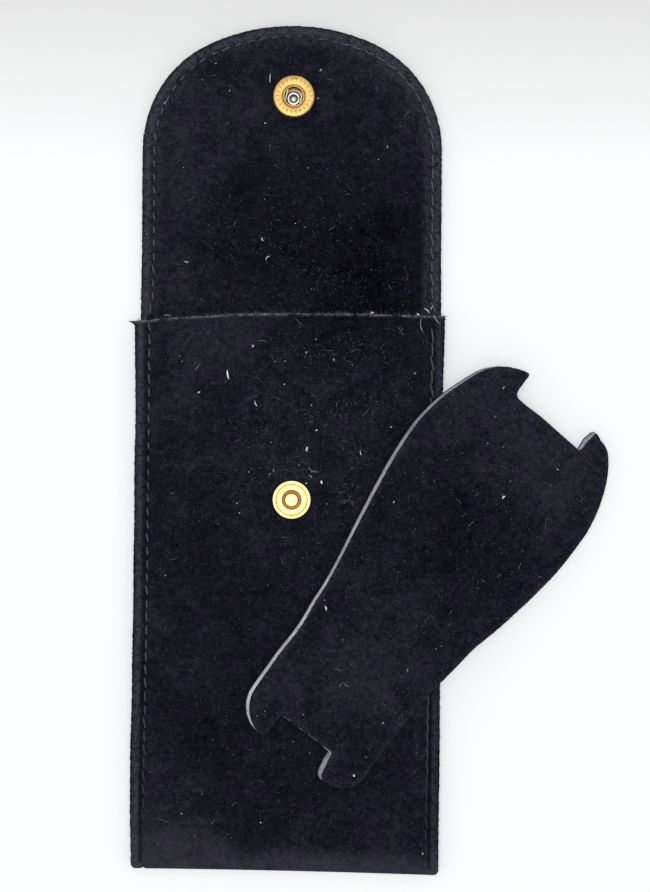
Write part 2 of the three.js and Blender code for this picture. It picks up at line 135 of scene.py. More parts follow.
# Stitching
POCKET_SEAM_INSET = 3.4
FLAP_SEAM_INSET = 2.6
STITCH_PITCH = 3.46
STITCH_LENGTH = 2.5
THREAD_RADIUS = 0.23
STITCH_RISE = 0.17  # how far a stitch bows out of its groove
STITCH_SLANT = 7.0
GROOVE_SQUEEZE = 0.5  # share of the thickness that a tight stitch takes away
GROOVE_WIDTH = 0.55
HOLE_EXTRA = 0.3  # the groove is this much deeper at the needle holes
PUCKER_WIDTH = 2.4
PUCKER_SQUEEZE = 0.1

# Cradle board, which is stiff board between two velvets
BOARD_THICKNESS = 3.0
BOARD_VELVET = 0.55
BOARD_TURN = -37.4
BOARD_LEAN = 6.84
BOARD_WAVES = ((0.02, 12.0, 51), (0.048, 40.0, 52))
BOARD_PLACE = (4.2, -35.9)  # middle of the lower notch's floor
BOARD_HEAD = 26.6
BOARD_NECK = 18.2
BOARD_NECK_TOP = 14.0
BOARD_HEAD_HEIGHT = 78.0
BOARD_SIDE_EASE = 23.5
BOARD_SHOULDER_RISE = 12.0
BOARD_HORN_RUN = 10.0
BOARD_HORN_DROP = 4.0
BOARD_FOOT = 6.5
BOARD_TOE = 1.2
NOTCH_SPAN = 101.7
UPPER_NOTCH = {"half": 10.6, "deep": 6.3, "flare": 0.9, "turned": -3.8}
LOWER_NOTCH = {"half": 8.2, "deep": 7.0, "flare": 1.0, "turned": 2.2}
# Where the knife strayed from the board's line: place across and along it, and how far off the cut is
KNIFE_STRAYS = [
    (-11.3, 108.0, 1.56, -1.35),
    (-15.5, 105.8, -0.89, 0.52),
    (-20.4, 101.0, -0.59, 0.30),
    (-10.6, 102.4, -0.41, -3.39),
    (-4.0, 101.9, 0.58, -1.91),
    (4.0, 101.4, 0.79, -1.91),
    (10.6, 101.0, 1.24, -1.69),
    (11.5, 108.0, 0.72, -2.36),
    (26.7, 78.5, -0.35, 0.0),
    (21.7, 42.0, -0.4, 0.0),
    (-17.7, 12.0, -0.3, 0.0),
    (-18.0, 27.0, -0.3, 0.0),
    (-16.2, -4.0, 0.46, 0.45),
    (-10.4, -7.0, 1.32, -0.97),
    (-8.2, 0.0, -0.49, -0.27),
    (0.0, 0.0, -0.3, -0.5),
    (8.2, 0.0, -0.2, -0.8),
    (10.0, -6.5, 0.0, -0.5),
    (17.0, -6.0, 0.4, 0.0),
]
STRAY_REACH = 5.0
LEFT_CUT_IN = 0.38  # the whole left side was cut this much inside its line
EDGE_FLARE = 0.12  # the knife leaned outwards, so the underside is wider
EDGE_FLARE_LEFT = 0.9
WAIST_AT = (38.0, 16.0)  # at the waist it leaned less: the middle and the reach
WAIST_FLARE_LOSS = 0.3
WAIST_CUT_IN_LOSS = 0.35
LOWER_WALL_FLARE = 0.4  # and on the notches' walls that look left it leaned further
UPPER_WALL_FLARE = 0.75
FLOOR_FLARE = 0.34

# Places that follow
board_table_x = box_mm("board_back_velvet")[1][0] - BOARD_VELVET * math.sin(math.radians(BOARD_LEAN))
flap_tilt = math.atan(CAP_LIFT / SNAP_REACH)
fold_drop = fold_z * math.cos(flap_tilt) - PANEL
seam_x = half_width - POCKET_SEAM_INSET
front_rise = front_top - 2 * PANEL - SEWN_GAP
bend_radius = SEWN_GAP / 2
bend_y = bottom_y + PANEL + bend_radius
bend_z = PANEL + bend_radius
bend_length = math.pi * (bend_radius + PANEL / 2)
front_length = mouth_y - bend_y
back_start = front_length + bend_length
fold_s = back_start + fold_y - bend_y
mouth_s = back_start + mouth_y - bend_y
strip_length = fold_s + FLAP_LENGTH


# Small tools


def smooth(share):
    """0 up to 0 and 1 from 1 on, with a soft rise between."""
    share = np.clip(share, 0.0, 1.0)
    return share * share * (3.0 - 2.0 * share)


def between(value, start, end):
    """0 at start and 1 at end, softly, and level outside."""
    return smooth((value - start) / (end - start))


def waves(x, y, length, seed, count=9):
    """Soft random waves of about that length, from -1 to 1."""
    rng = np.random.default_rng(seed)
    total = np.zeros(np.shape(x))
    for _ in range(count):
        heading = rng.uniform(0.0, 2.0 * math.pi)
        size = 2.0 * math.pi / (length * rng.uniform(0.7, 1.6))
        along = x * math.cos(heading) + y * math.sin(heading)
        total = total + np.cos(along * size + rng.uniform(0.0, 2.0 * math.pi))
    return total / math.sqrt(2.0 * count) / 1.3


def rolling(x, y, sorts):
    """Several soft waves at once, each given by its height, length and seed."""
    return sum(height * waves(x, y, length, seed) for height, length, seed in sorts)


def wander(along, length, seed, count=7):
    """Soft random waves along a line."""
    return waves(along, np.zeros(np.shape(along)), length, seed, count)


def arc(centre, radius, start, end, step):
    """Points round an arc, without its last one. Angles are radians."""
    count = max(2, int(round(abs(end - start) * radius / step)))
    angles = np.linspace(start, end, count, endpoint=False)
    return np.column_stack([centre[0] + radius * np.cos(angles), centre[1] + radius * np.sin(angles)])


def straight(start, end, step):
    """Points along a straight line, without its last one."""
    start, end = np.array(start, float), np.array(end, float)
    count = max(1, int(round(np.linalg.norm(end - start) / step)))
    share = np.linspace(0.0, 1.0, count, endpoint=False)[:, None]
    return start + (end - start) * share


def bezier(a, b, c, d, step):
    """Points along a cubic curve, without its last one."""
    a, b, c, d = (np.array(p, float) for p in (a, b, c, d))
    count = max(3, int(round(np.linalg.norm(d - a) * 1.05 / step)))
    t = np.linspace(0.0, 1.0, count, endpoint=False)[:, None]
    return (1 - t) ** 3 * a + 3 * (1 - t) ** 2 * t * b + 3 * (1 - t) * t**2 * c + t**3 * d


def lengths_along(line):
    steps = np.linalg.norm(np.diff(line, axis=0), axis=1)
    return np.concatenate([[0.0], np.cumsum(steps)])


def evenly(line, step):
    """The line with points at even steps."""
    along = lengths_along(line)
    wanted = np.linspace(0.0, along[-1], max(2, int(round(along[-1] / step)) + 1))
    return np.column_stack([np.interp(wanted, along, line[:, k]) for k in range(line.shape[1])])


def mesh_of(name, points, faces, sharp=None):
    """A smooth mesh from points in millimetres. Edges that turn more than sharp degrees stay crisp."""
    mesh = bpy.data.meshes.new(name)
    mesh.from_pydata((np.asarray(points) * MM).tolist(), [], faces)
    mesh.shade_smooth()
    if sharp is not None:
        mesh.set_sharp_from_angle(angle=math.radians(sharp))
    return mesh


def ring_points(centre, side, above, radius, sides):
    """Points round the centre, from beside it to above it and on."""
    angles = 2.0 * math.pi * np.arange(sides) / sides
    return [centre + radius * (math.cos(angle) * side + math.sin(angle) * above) for angle in angles]


def tube_faces(first, rings, sides):
    """The faces of a tube closed at both ends, whose rings of points start at the point numbered first."""
    last = first + (rings - 1) * sides
    faces = [tuple(range(first, first + sides))[::-1], tuple(range(last, last + sides))]
    for ring in range(first, last, sides):
        for k in range(sides):
            a, b = ring + k, ring + (k + 1) % sides
            faces.append((a, b, b + sides, a + sides))
    return faces


def point_values(mesh, marks):
    """Named values at the mesh's points, for the finishes and the fibres to read."""
    for name, values in marks.items():
        layer = mesh.attributes.new(name, "FLOAT", "POINT")
        layer.data.foreach_set("value", np.asarray(values, np.float32))


def flat_map(mesh, flat):
    """A UV map that holds each point's place on the flat cut, in metres."""
    layer = mesh.uv_layers.new(name="flat")
    corners = np.zeros(len(mesh.loops), np.int32)
    mesh.loops.foreach_get("vertex_index", corners)
    layer.data.foreach_set("uv", (np.asarray(flat)[corners] * MM).astype(np.float32).ravel())


def new_piece(name, mesh, finish, body=None):
    piece = bpy.data.objects.new(name, mesh)
    scene.collection.objects.link(piece)
    if finish is not None:
        mesh.materials.clear()
        mesh.materials.append(finish)
    if body:
        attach(piece, body)
    return piece


def across_fold(piece):
    """Bends a piece with the flap. The turn starts and ends as far from the fold line as the mouth is."""
    reach = fold_y - mouth_y
    start = (0, (fold_y - reach) * MM, fold_z * MM)
    end = (0, (fold_y + reach) * MM, fold_z * MM)
    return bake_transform(piece, "pouch", "flap", start=start, end=end)


def add_node(tree, kind, inputs=None, **settings):
    """A node with its settings, and its inputs linked or set by name or number."""
    made = tree.nodes.new(kind)
    for name, value in settings.items():
        setattr(made, name, value)
    for key, value in (inputs or {}).items():
        socket = made.inputs[key]
        if isinstance(value, bpy.types.NodeSocket):
            tree.links.new(value, socket)
        else:
            socket.default_value = value
    return made


# Finishes


def new_finish(name):
    finish = bpy.data.materials.new(name)
    finish.use_nodes = True
    tree = finish.node_tree
    return finish, tree, tree.nodes["Principled BSDF"]


def own_place(tree):
    """Each spot's place in the piece's own frame."""
    return add_node(tree, "ShaderNodeTexCoord").outputs["Object"]


def along_y(tree, where):
    return add_node(tree, "ShaderNodeSeparateXYZ", {"Vector": where}).outputs["Y"]


def point_value(tree, name):
    return add_node(tree, "ShaderNodeAttribute", attribute_name=name).outputs["Fac"]


def noise(tree, where, size_mm, detail=3.0, rough=0.55, twist=0.0):
    """Noise whose blobs are about that many millimetres."""
    inputs = {"Vector": where, "Scale": 1.0 / (size_mm * MM), "Detail": detail, "Roughness": rough}
    inputs["Distortion"] = twist
    return add_node(tree, "ShaderNodeTexNoise", inputs).outputs["Fac"]


def maths(tree, operation, first, second, clamp=False):
    made = add_node(tree, "ShaderNodeMath", {0: first, 1: second}, operation=operation, use_clamp=clamp)
    return made.outputs[0]


def weighted(tree, *parts):
    """The sum of (value, share) pairs."""
    total = maths(tree, "MULTIPLY", *parts[0])
    for value, share in parts[1:]:
        total = maths(tree, "ADD", total, maths(tree, "MULTIPLY", value, share))
    return total


def contrast(tree, value, floor, gain):
    """0 up to the floor, and from there up to 1 at that slope."""
    return maths(tree, "MULTIPLY", maths(tree, "SUBTRACT", value, floor), gain, True)


def from_to(tree, value, start, end, low=0.0, high=1.0):
    """low where the value is at start, high where it is at end, and evenly from one to the other."""
    inputs = {"Value": value, "From Min": start, "From Max": end, "To Min": low, "To Max": high}
    return add_node(tree, "ShaderNodeMapRange", inputs).outputs["Result"]


def ramp(tree, value, stops, *colours):
    """A colour ramp with one colour at each stop."""
    made = add_node(tree, "ShaderNodeValToRGB", {"Fac": value})
    elements = made.color_ramp.elements
    while len(elements) < len(stops):
        elements.new(0.5)
    for element, stop, colour in zip(elements, stops, colours):
        element.position = stop
        element.color = (*colour, 1.0)
    return made.outputs["Color"]


def mix_colour(tree, share, first, second):
    """That share of the second colour over the first. Each is another node's or a plain one."""
    first, second = ((*colour, 1.0) if isinstance(colour, tuple) else colour for colour in (first, second))
    inputs = {"Factor": share, 6: first, 7: second}
    return add_node(tree, "ShaderNodeMix", inputs, data_type="RGBA").outputs[2]


def surface(tree, shader, colour, roughness, specular):
    tree.links.new(colour, shader.inputs["Base Color"])
    shader.inputs["Roughness"].default_value = roughness
    shader.inputs["Specular IOR Level"].default_value = specular


def bumps(tree, shader, height, strength, size_mm):
    inputs = {"Height": height, "Strength": strength, "Distance": size_mm * MM}
    normal = add_node(tree, "ShaderNodeBump", inputs).outputs["Normal"]
    tree.links.new(normal, shader.inputs["Normal"])


# The pile's tones from dark to light, a cool and a warm set, and what shows along worn and cut edges
PILE_STOPS = (0.54, 0.73, 1.0)
COOL_PILE = ((0.0010, 0.0013, 0.0024), (0.0078, 0.0090, 0.0140), (0.031, 0.034, 0.042))
WARM_PILE = ((0.0016, 0.0010, 0.0034), (0.0092, 0.0080, 0.0170), (0.035, 0.031, 0.048))
BORDER_PILE = (0.052, 0.051, 0.064)
CUT_EDGE_GREY = (0.20, 0.20, 0.225)


def velvet_finish():
    """Short cut pile: nearly black, clouded where it was stroked different ways, greyer along its edges, and
    lighter along the pouch's bottom fold with a painted highlight.
    """
    finish, tree, shader = new_finish("black velvet")
    where = add_node(tree, "ShaderNodeUVMap", uv_map="flat").outputs["UV"]
    clouds = noise(tree, where, 30.0, 3.0, 0.6, 0.6)
    strokes = noise(tree, where, 6.0, 4.0, 0.65, 0.9)
    tufts = noise(tree, where, 1.5, 3.0, 0.7, 0.5)
    pile = noise(tree, where, 0.5, 2.0, 0.6)
    # This value is the pile's stroked tone, plus a painted highlight along the pouch's bottom fold.
    brushed = point_value(tree, "brushed")
    tone = weighted(tree, (brushed, 0.2), (clouds, 0.26), (strokes, 0.34), (tufts, 0.44), (pile, 0.44))
    warmth = contrast(tree, noise(tree, where, 9.0, 3.0, 0.7), 0.36, 3.5)
    cool, warm = (ramp(tree, tone, PILE_STOPS, *tones) for tones in (COOL_PILE, WARM_PILE))
    colour = mix_colour(tree, warmth, cool, warm)
    mottled = contrast(tree, maths(tree, "ADD", tufts, pile), 0.74, 2.5)
    worn = maths(tree, "MULTIPLY", point_value(tree, "border"), mottled)
    colour = mix_colour(tree, worn, colour, BORDER_PILE)
    colour = mix_colour(tree, point_value(tree, "furrow"), colour, COOL_PILE[0])
    clumps = contrast(tree, noise(tree, where, 2.6, 3.0, 0.75), 0.40, 5.0)
    frayed = maths(tree, "MULTIPLY", point_value(tree, "cut"), clumps)
    colour = mix_colour(tree, frayed, colour, CUT_EDGE_GREY)
    surface(tree, shader, colour, 0.92, 0.04)
    bumps(tree, shader, weighted(tree, (tufts, 1.2), (pile, 1.0)), 0.7, 0.16)
    shader.inputs["Sheen Weight"].default_value = 0.06
    shader.inputs["Sheen Roughness"].default_value = 0.38
    shader.inputs["Sheen Tint"].default_value = (0.62, 0.64, 0.80, 1.0)
    return finish


BOARD_GREYS = ((0.20, 0.195, 0.23), (0.54, 0.52, 0.60), (0.84, 0.82, 0.90))
BOARD_SMUDGE = (0.05, 0.05, 0.06)
BOARD_FRINGE = (0.008, 0.008, 0.012)
MOST_SMUDGED = 0.5
HANDLED_Y = (-14.0, 46.0)  # towards its head the edge was handled more and more
FOOT_Y = (-32.0, -38.0)  # and again towards its foot


def board_finish():
    """The board's own cut edge: pale grey, smudged, and in places black with the faces' pile."""
    finish, tree, shader = new_finish("grey board edge")
    where = own_place(tree)
    grain = noise(tree, where, 0.35, 4.0, 0.7)
    blotches = noise(tree, where, 5.0, 3.0, 0.6)
    tone = weighted(tree, (grain, 0.6), (blotches, 0.5))
    colour = ramp(tree, tone, (0.32, 0.50, 0.70), *BOARD_GREYS)
    height = along_y(tree, where)
    at_head, at_foot = (
        from_to(tree, height, start * MM, end * MM, 0.0, MOST_SMUDGED) for start, end in (HANDLED_Y, FOOT_Y)
    )
    colour = mix_colour(tree, maths(tree, "MAXIMUM", at_head, at_foot), colour, BOARD_SMUDGE)
    fringe = contrast(tree, noise(tree, where, 2.4, 2.0, 0.6), 0.42, 7.0)
    hidden = maths(tree, "MULTIPLY", point_value(tree, "fringed"), fringe)
    colour = mix_colour(tree, hidden, colour, BOARD_FRINGE)
    surface(tree, shader, colour, 0.9, 0.2)
    bumps(tree, shader, grain, 0.5, 0.08)
    return finish


def fibre_finish(name, dark, light, patch):
    """Loose or cut fibres, lighter and darker in patches of that many millimetres."""
    finish, tree, shader = new_finish(name)
    shade = noise(tree, own_place(tree), patch, 1.0, 0.5)
    surface(tree, shader, ramp(tree, shade, (0.36, 0.64), dark, light), 0.8, 0.2)
    return finish


THREAD_GREYS = ((0.038, 0.038, 0.050), (0.115, 0.112, 0.140))
PILE_ON_THREAD = (0.009, 0.009, 0.013)
THREAD_CLEAN_Y = (-60.0, -8.0)  # pile lies over the stitches at the bottom, and less and less upwards
PLY_TURN = 58.0
PLY_SIZE = 2.1


def thread_finish():
    """Spun thread, dark grey with its two plies as fine slanted bands, and dark with pile low down."""
    finish, tree, shader = new_finish("grey thread")
    where = own_place(tree)
    turn = (0.0, 0.0, math.radians(PLY_TURN))
    turned = add_node(tree, "ShaderNodeMapping", {"Vector": where, "Rotation": turn}).outputs["Vector"]
    inputs = {"Vector": turned, "Scale": 1.0 / (PLY_SIZE * MM), "Distortion": 0.6}
    plies = add_node(tree, "ShaderNodeTexWave", inputs).outputs["Fac"]
    tone = weighted(tree, (plies, 0.35), (noise(tree, where, 0.5), 0.65))
    colour = ramp(tree, tone, (0.25, 0.75), *THREAD_GREYS)
    clean = from_to(tree, along_y(tree, where), THREAD_CLEAN_Y[0] * MM, THREAD_CLEAN_Y[1] * MM, 0.1, 1.0)
    colour = mix_colour(tree, clean, PILE_ON_THREAD, colour)
    surface(tree, shader, colour, 0.6, 0.3)
    bumps(tree, shader, plies, 0.5, 0.06)
    return finish


# Brass goes brown in its recesses. The nickel's nearly black recess colour is painted shade in the rivet's
# rolled groove.
BRASS_TARNISH = (0.25, 0.115, 0.025)
NICKEL_GROOVE_SHADE = (0.05, 0.055, 0.06)


def metal_finish(name, bright, dull, smoothest, roughest, tarnish_and_shade=BRASS_TARNISH):
    """Plated metal, with faint smudges and tiny scuffs, and a darker colour in its recesses: tarnish on
    brass, painted shade on nickel.
    """
    finish, tree, shader = new_finish(name)
    where = own_place(tree)
    smudge = noise(tree, where, 1.6, 3.0, 0.6, 0.4)
    scuff = noise(tree, where, 0.12, 3.0, 0.7)
    plated = ramp(tree, smudge, (0.35, 0.62), dull, bright)
    # The recess colour: tarnish on brass, and painted shade in the nickel rivet's groove.
    colour = mix_colour(tree, point_value(tree, "recess"), plated, tarnish_and_shade)
    tree.links.new(colour, shader.inputs["Base Color"])
    tree.links.new(from_to(tree, smudge, 0.3, 0.7, smoothest, roughest), shader.inputs["Roughness"])
    bumps(tree, shader, scuff, 0.1, 0.012)
    shader.inputs["Metallic"].default_value = 1.0
    return finish


velvet = velvet_finish()
grey_board = board_finish()
thread = thread_finish()
pile_ends = fibre_finish("pile ends", (0.006, 0.006, 0.010), (0.035, 0.035, 0.047), 0.8)
raw_ends = fibre_finish("raw cut ends", (0.03, 0.03, 0.036), (0.17, 0.17, 0.19), 1.1)
faint_lint = fibre_finish("faint lint", (0.014, 0.0155, 0.020), (0.060, 0.065, 0.080), 2.0)
pale_lint = fibre_finish("pale lint", (0.03, 0.032, 0.040), (0.15, 0.155, 0.185), 2.5)
thread_lint = fibre_finish("threads of lint", (0.12, 0.123, 0.14), (0.34, 0.345, 0.38), 2.5)
white_lint = fibre_finish("white lint", (0.25, 0.255, 0.29), (0.70, 0.71, 0.76), 3.0)
bright_lint = fibre_finish("bright lint", (0.90, 0.90, 0.93), (0.97, 0.97, 0.99), 3.0)
gilt = metal_finish("pale gilt", (1.0, 0.72, 0.30), (0.88, 0.56, 0.18), 0.16, 0.30)
bronze = metal_finish("dull bronze", (0.62, 0.40, 0.28), (0.42, 0.25, 0.16), 0.25, 0.40)
# A darker copy of the pale gilt: painted shade, for how the light falls on the socket cup at the flap's
# tilt.
shaded_gilt = metal_finish("shaded gilt", (0.79, 0.53, 0.19), (0.62, 0.38, 0.13), 0.26, 0.42)
# A still darker copy of the gilt for the pips: painted shade standing in for the dark strokes of their
# relief.
pip_shaded_gilt = metal_finish("pips' shaded gilt", (0.58, 0.34, 0.09), (0.42, 0.23, 0.06), 0.3, 0.45)
spring_brass = metal_finish("spring brass", (0.98, 0.90, 0.68), (0.84, 0.72, 0.50), 0.16, 0.28)
silver = metal_finish("bright nickel", (0.80, 0.79, 0.76), (0.58, 0.56, 0.53), 0.14, 0.28, NICKEL_GROOVE_SHADE)


# Camera, table and light

VIEW_POINT = (9.4, 38.15)  # straight below the camera
CAMERA_HEIGHT = 410.0
CAMERA_ROLL = 0.57
PICTURE_HEIGHT = 230.1  # of the table that the picture takes in
PICTURE_LEVEL = 4.0  # measured at this height
SENSOR_HEIGHT = 24.0


def make_camera():
    data = bpy.data.cameras.new("camera")
    camera = bpy.data.objects.new("camera", data)
    scene.collection.objects.link(camera)
    camera.location = (VIEW_POINT[0] * MM, VIEW_POINT[1] * MM, CAMERA_HEIGHT * MM)
    camera.rotation_euler = (0.0, 0.0, math.radians(CAMERA_ROLL))
    data.sensor_fit = "VERTICAL"
    data.sensor_height = SENSOR_HEIGHT
    data.lens = SENSOR_HEIGHT * (CAMERA_HEIGHT - PICTURE_LEVEL) / PICTURE_HEIGHT
    data.clip_start = 0.01
    data.clip_end = 10.0
    scene.camera = camera


TABLE_GLOW = 0.4
TABLE_SHADE_FADE = (112.0, 156.0)  # painted shade: it gets greyer from here to there
TABLE_WHITE = (0.96, 0.95, 0.91)
TABLE_FAR_SHADE = (0.74, 0.74, 0.72)
GLOW_WHITE = (1.04, 1.07, 1.13)
GLOW_FAR_SHADE = (0.875, 0.875, 0.88)
TABLE_SIZE = 3000.0
TABLE_DROP = 0.05


def table_finish():
    """White paper: white to the camera, shaded pale blue round the pouch, and with painted shade that makes
    it greyer at its far end.
    """
    finish, tree, shader = new_finish("white table")
    # Painted shade: the table and its glow turn greyer towards the far end.
    far = from_to(tree, along_y(tree, own_place(tree)), TABLE_SHADE_FADE[0] * MM, TABLE_SHADE_FADE[1] * MM)
    surface(tree, shader, mix_colour(tree, far, TABLE_WHITE, TABLE_FAR_SHADE), 0.9, 0.0)
    shade = mix_colour(tree, far, GLOW_WHITE, GLOW_FAR_SHADE)
    glow = add_node(tree, "ShaderNodeEmission", {"Color": shade, "Strength": 1.0})
    seen = add_node(tree, "ShaderNodeLightPath").outputs["Is Camera Ray"]
    share = maths(tree, "MULTIPLY", seen, TABLE_GLOW)
    both = add_node(tree, "ShaderNodeMixShader", {0: share, 1: shader.outputs[0], 2: glow.outputs[0]})
    tree.links.new(both.outputs[0], tree.nodes["Material Output"].inputs["Surface"])
    return finish


def make_table():
    reach = TABLE_SIZE / 2
    corners = [(-reach, -reach), (reach, -reach), (reach, reach), (-reach, reach)]
    points = [(x, y, -TABLE_DROP) for x, y in corners]
    table = bpy.data.objects.new("table", mesh_of("table", points, [(0, 1, 2, 3)]))
    table.data.materials.append(table_finish())
    scene.collection.objects.link(table)


ROOM_COLOUR = (0.97, 0.98, 1.0)
ROOM_LIGHT = 0.80
LAMP_POWER = 1.9
LAMP_SIZE = 520.0
LAMP_PLACE = (-60.0, -20.0, 900.0)


def make_light():
    scene.view_settings.view_transform = "Standard"
    world = bpy.data.worlds.new("room")
    scene.world = world
    world.use_nodes = True
    background = world.node_tree.nodes["Background"]
    background.inputs["Color"].default_value = (*ROOM_COLOUR, 1.0)
    background.inputs["Strength"].default_value = ROOM_LIGHT
    data = bpy.data.lights.new("softbox", "AREA")
    data.shape = "SQUARE"
    data.size = LAMP_SIZE * MM
    data.energy = LAMP_POWER
    lamp = bpy.data.objects.new("softbox", data)
    lamp.location = [v * MM for v in LAMP_PLACE]
    scene.collection.objects.link(lamp)


make_camera()
make_table()
make_light()


# Slabs: closed sheets with a fine band along the cut edge


def rows_inside(outline, step):
    """Points of a square lattice inside the outline, with their row and column numbers."""
    ahead = np.roll(outline, -1, axis=0)
    first = int(math.ceil(outline[:, 1].min() / step))
    last = int(math.floor(outline[:, 1].max() / step))
    found = []
    for row in range(first, last + 1):
        y = row * step
        crossing = (outline[:, 1] <= y) != (ahead[:, 1] <= y)
        a, b = outline[crossing], ahead[crossing]
        xs = np.sort(a[:, 0] + (b[:, 0] - a[:, 0]) * (y - a[:, 1]) / (b[:, 1] - a[:, 1]))
        for start, end in zip(xs[::2], xs[1::2]):
            columns = np.arange(math.ceil(start / step), math.floor(end / step) + 1)
            found.append(np.column_stack([columns, np.full(len(columns), row)]))
    cells = np.vstack(found)
    return cells * step, cells


def tree_of(points):
    tree = KDTree(len(points))
    for k, point in enumerate(points):
        tree.insert((point[0], point[1], 0.0), k)
    tree.balance()
    return tree


def outward(outline):
    """The direction out of a closed anticlockwise line, at each of its points."""
    along = np.roll(outline, -1, axis=0) - np.roll(outline, 1, axis=0)
    out = np.column_stack([along[:, 1], -along[:, 0]])
    return out / np.linalg.norm(out, axis=1)[:, None]


EDGE_CLEAR = 0.75  # share of a step that the lattice keeps off the outline
ROWS_CLEAR = 0.3  # and what it keeps off a face's own rows


class Slab:
    """A closed sheet: a mesh, and for each of its points the flat place, the level and the way to the edge.

    outline is the flat cut, anticlockwise. rings are (out, level) pairs down the cut edge, from the face
    that looks along +Z when the sheet lies flat to the other one. out may differ from point to point.
    Within band of the edge the faces are as fine as step, and elsewhere they are twice as coarse. rows are
    more points inside the outline, which take the place of the lattice between the first and last of them.
    """

    def __init__(self, name, outline, rings, place, step, band, rows=None):
        out = outward(outline)
        loops = [outline + out * np.reshape(offset, (-1, 1)) for offset, _ in rings]
        inner, to_edge = self.inner_points(outline, step, band, rows)
        around, walls = len(outline), len(rings) - 2
        top = np.vstack([loops[0], inner])
        under = np.vstack([loops[-1], inner])
        counts = [len(top)] + [around] * walls + [len(under)]
        from_edge = np.concatenate([np.zeros(around), to_edge])
        self.flat = np.vstack([top, *loops[1:-1], under])
        self.level = np.repeat([level for _, level in rings], counts)
        self.on_rim = np.repeat([0.0] + [1.0] * walls + [0.0], counts)
        self.to_edge = np.concatenate([from_edge, np.zeros(around * walls), from_edge])

        triangles = self.triangles(top, around)
        starts = [sum(counts[:k]) for k in range(len(counts))]
        faces = triangles.tolist() + (triangles[:, ::-1] + starts[-1]).tolist()
        for a, b in zip(starts, starts[1:]):
            for k in range(around):
                after = (k + 1) % around
                faces.append((a + k, b + k, b + after, a + after))
        self.mesh = mesh_of(name, place(self.flat, self.level), faces)
        flat_map(self.mesh, self.flat)

    @staticmethod
    def inner_points(outline, step, band, rows):
        """The points inside the outline, and how far each is from it."""
        edge = tree_of(outline)
        lattice, cells = rows_inside(outline, step)
        to_edge = np.array([edge.find((x, y, 0.0))[2] for x, y in lattice])
        coarse = (cells % 2 == 0).all(axis=1)
        kept = (to_edge > EDGE_CLEAR * step) & ((to_edge < band) | coarse)
        if rows is None:
            return lattice[kept], to_edge[kept]
        along = lattice[:, 1]
        kept &= (along < rows[:, 1].min() - ROWS_CLEAR) | (along > rows[:, 1].max() + ROWS_CLEAR)
        from_rows = np.array([edge.find((x, y, 0.0))[2] for x, y in rows])
        return np.vstack([lattice[kept], rows]), np.concatenate([to_edge[kept], from_rows])

    @staticmethod
    def triangles(points, around):
        made = delaunay_2d_cdt([Vector(p) for p in points], [], [list(range(around))], 1, 1e-7)
        original = np.array([came_from[0] for came_from in made[3]])
        triangles = original[np.array(made[2])]
        a, b, c = (points[triangles[:, k]] for k in range(3))
        area = (b[:, 0] - a[:, 0]) * (c[:, 1] - a[:, 1]) - (b[:, 1] - a[:, 1]) * (c[:, 0] - a[:, 0])
        triangles[area < 0] = triangles[area < 0][:, ::-1]
        return triangles


# The pouch's strip, flat: x across it, s along it from the mouth, down the front and back up to the flap

STRIP_STEP = 0.62  # between points of the cut edge
STRIP_LATTICE = 0.78  # and between those of the faces, which are twice as coarse past the band
STRIP_BAND = 7.0
BEND_ROWS = 8
BEND_COLUMN = 0.7
BEND_MARGIN = 0.9
STRIP_RINGS = [(-0.30, 0.0), (-0.07, 0.05), (0.04, 0.22), (0.04, 0.44), (-0.05, 0.58), (-0.07, 0.75)]
STRIP_RINGS += [(-0.05, 0.92), (0.04, 1.06), (0.04, 1.28), (-0.07, 1.45), (-0.30, 1.5)]
INTERLINING_LEVELS = (0.57, 0.93)
SHOULDER_RUN = 1.0  # the strip narrows from the pocket's width to the flap's over this far
SEAM_SHOULDER_RUN = 4.0
SEAM_STEP = 0.2
PILE_CLEAR = 0.6  # no pile stands out of the edges below this, where it would go into the table


def flap_line(inset, step):
    """Half the flap's outline, drawn in by inset, from its straight side to the middle of its crown."""
    side = flap_half_width - inset
    shoulder = FLAP_SHOULDER_RADIUS - inset
    crown = FLAP_CROWN_RADIUS - inset
    shoulder_x = side - shoulder
    crown_s = fold_s + FLAP_LENGTH - inset - crown
    shoulder_s = crown_s + math.sqrt((crown - shoulder) ** 2 - shoulder_x**2)
    turn = math.atan2(shoulder_s - crown_s, shoulder_x)
    rounded = arc((shoulder_x, shoulder_s), shoulder, 0.0, turn, step)
    top = arc((0.0, crown_s), crown, turn, math.pi / 2, step)
    return np.vstack([rounded, top])


def both_sides(right, middle):
    """A right half, the point in the middle and the mirrored left half."""
    left = right[::-1] * [-1.0, 1.0]
    return np.vstack([right, [middle], left])


def strip_outline(step):
    shoulder_s = mouth_s + SHOULDER_RUN
    flap = flap_line(0.0, step)
    right = np.vstack([
        straight((half_width, 0.0), (half_width, front_length), step),
        straight((half_width, front_length), (half_width, back_start), bend_length / BEND_ROWS),
        straight((half_width, back_start), (half_width, mouth_s), step),
        straight((half_width, mouth_s), (flap_half_width, shoulder_s), step),
        straight((flap_half_width, shoulder_s), flap[0], step),
        flap,
    ])
    sides = both_sides(right, (0.0, strip_length))
    mouth = straight(sides[-1], sides[0], step)[1:]
    return np.vstack([sides, mouth])


def ragged(outline, seed, coarse, fine):
    """The same outline as a knife and a year of use leave it, with coarse and fine waves that high."""
    along = lengths_along(np.vstack([outline, outline[:1]]))[:-1]
    shift = coarse * wander(along, 26.0, seed) + fine * wander(along, 1.5, seed + 1)
    return outline + outward(outline) * shift[:, None]


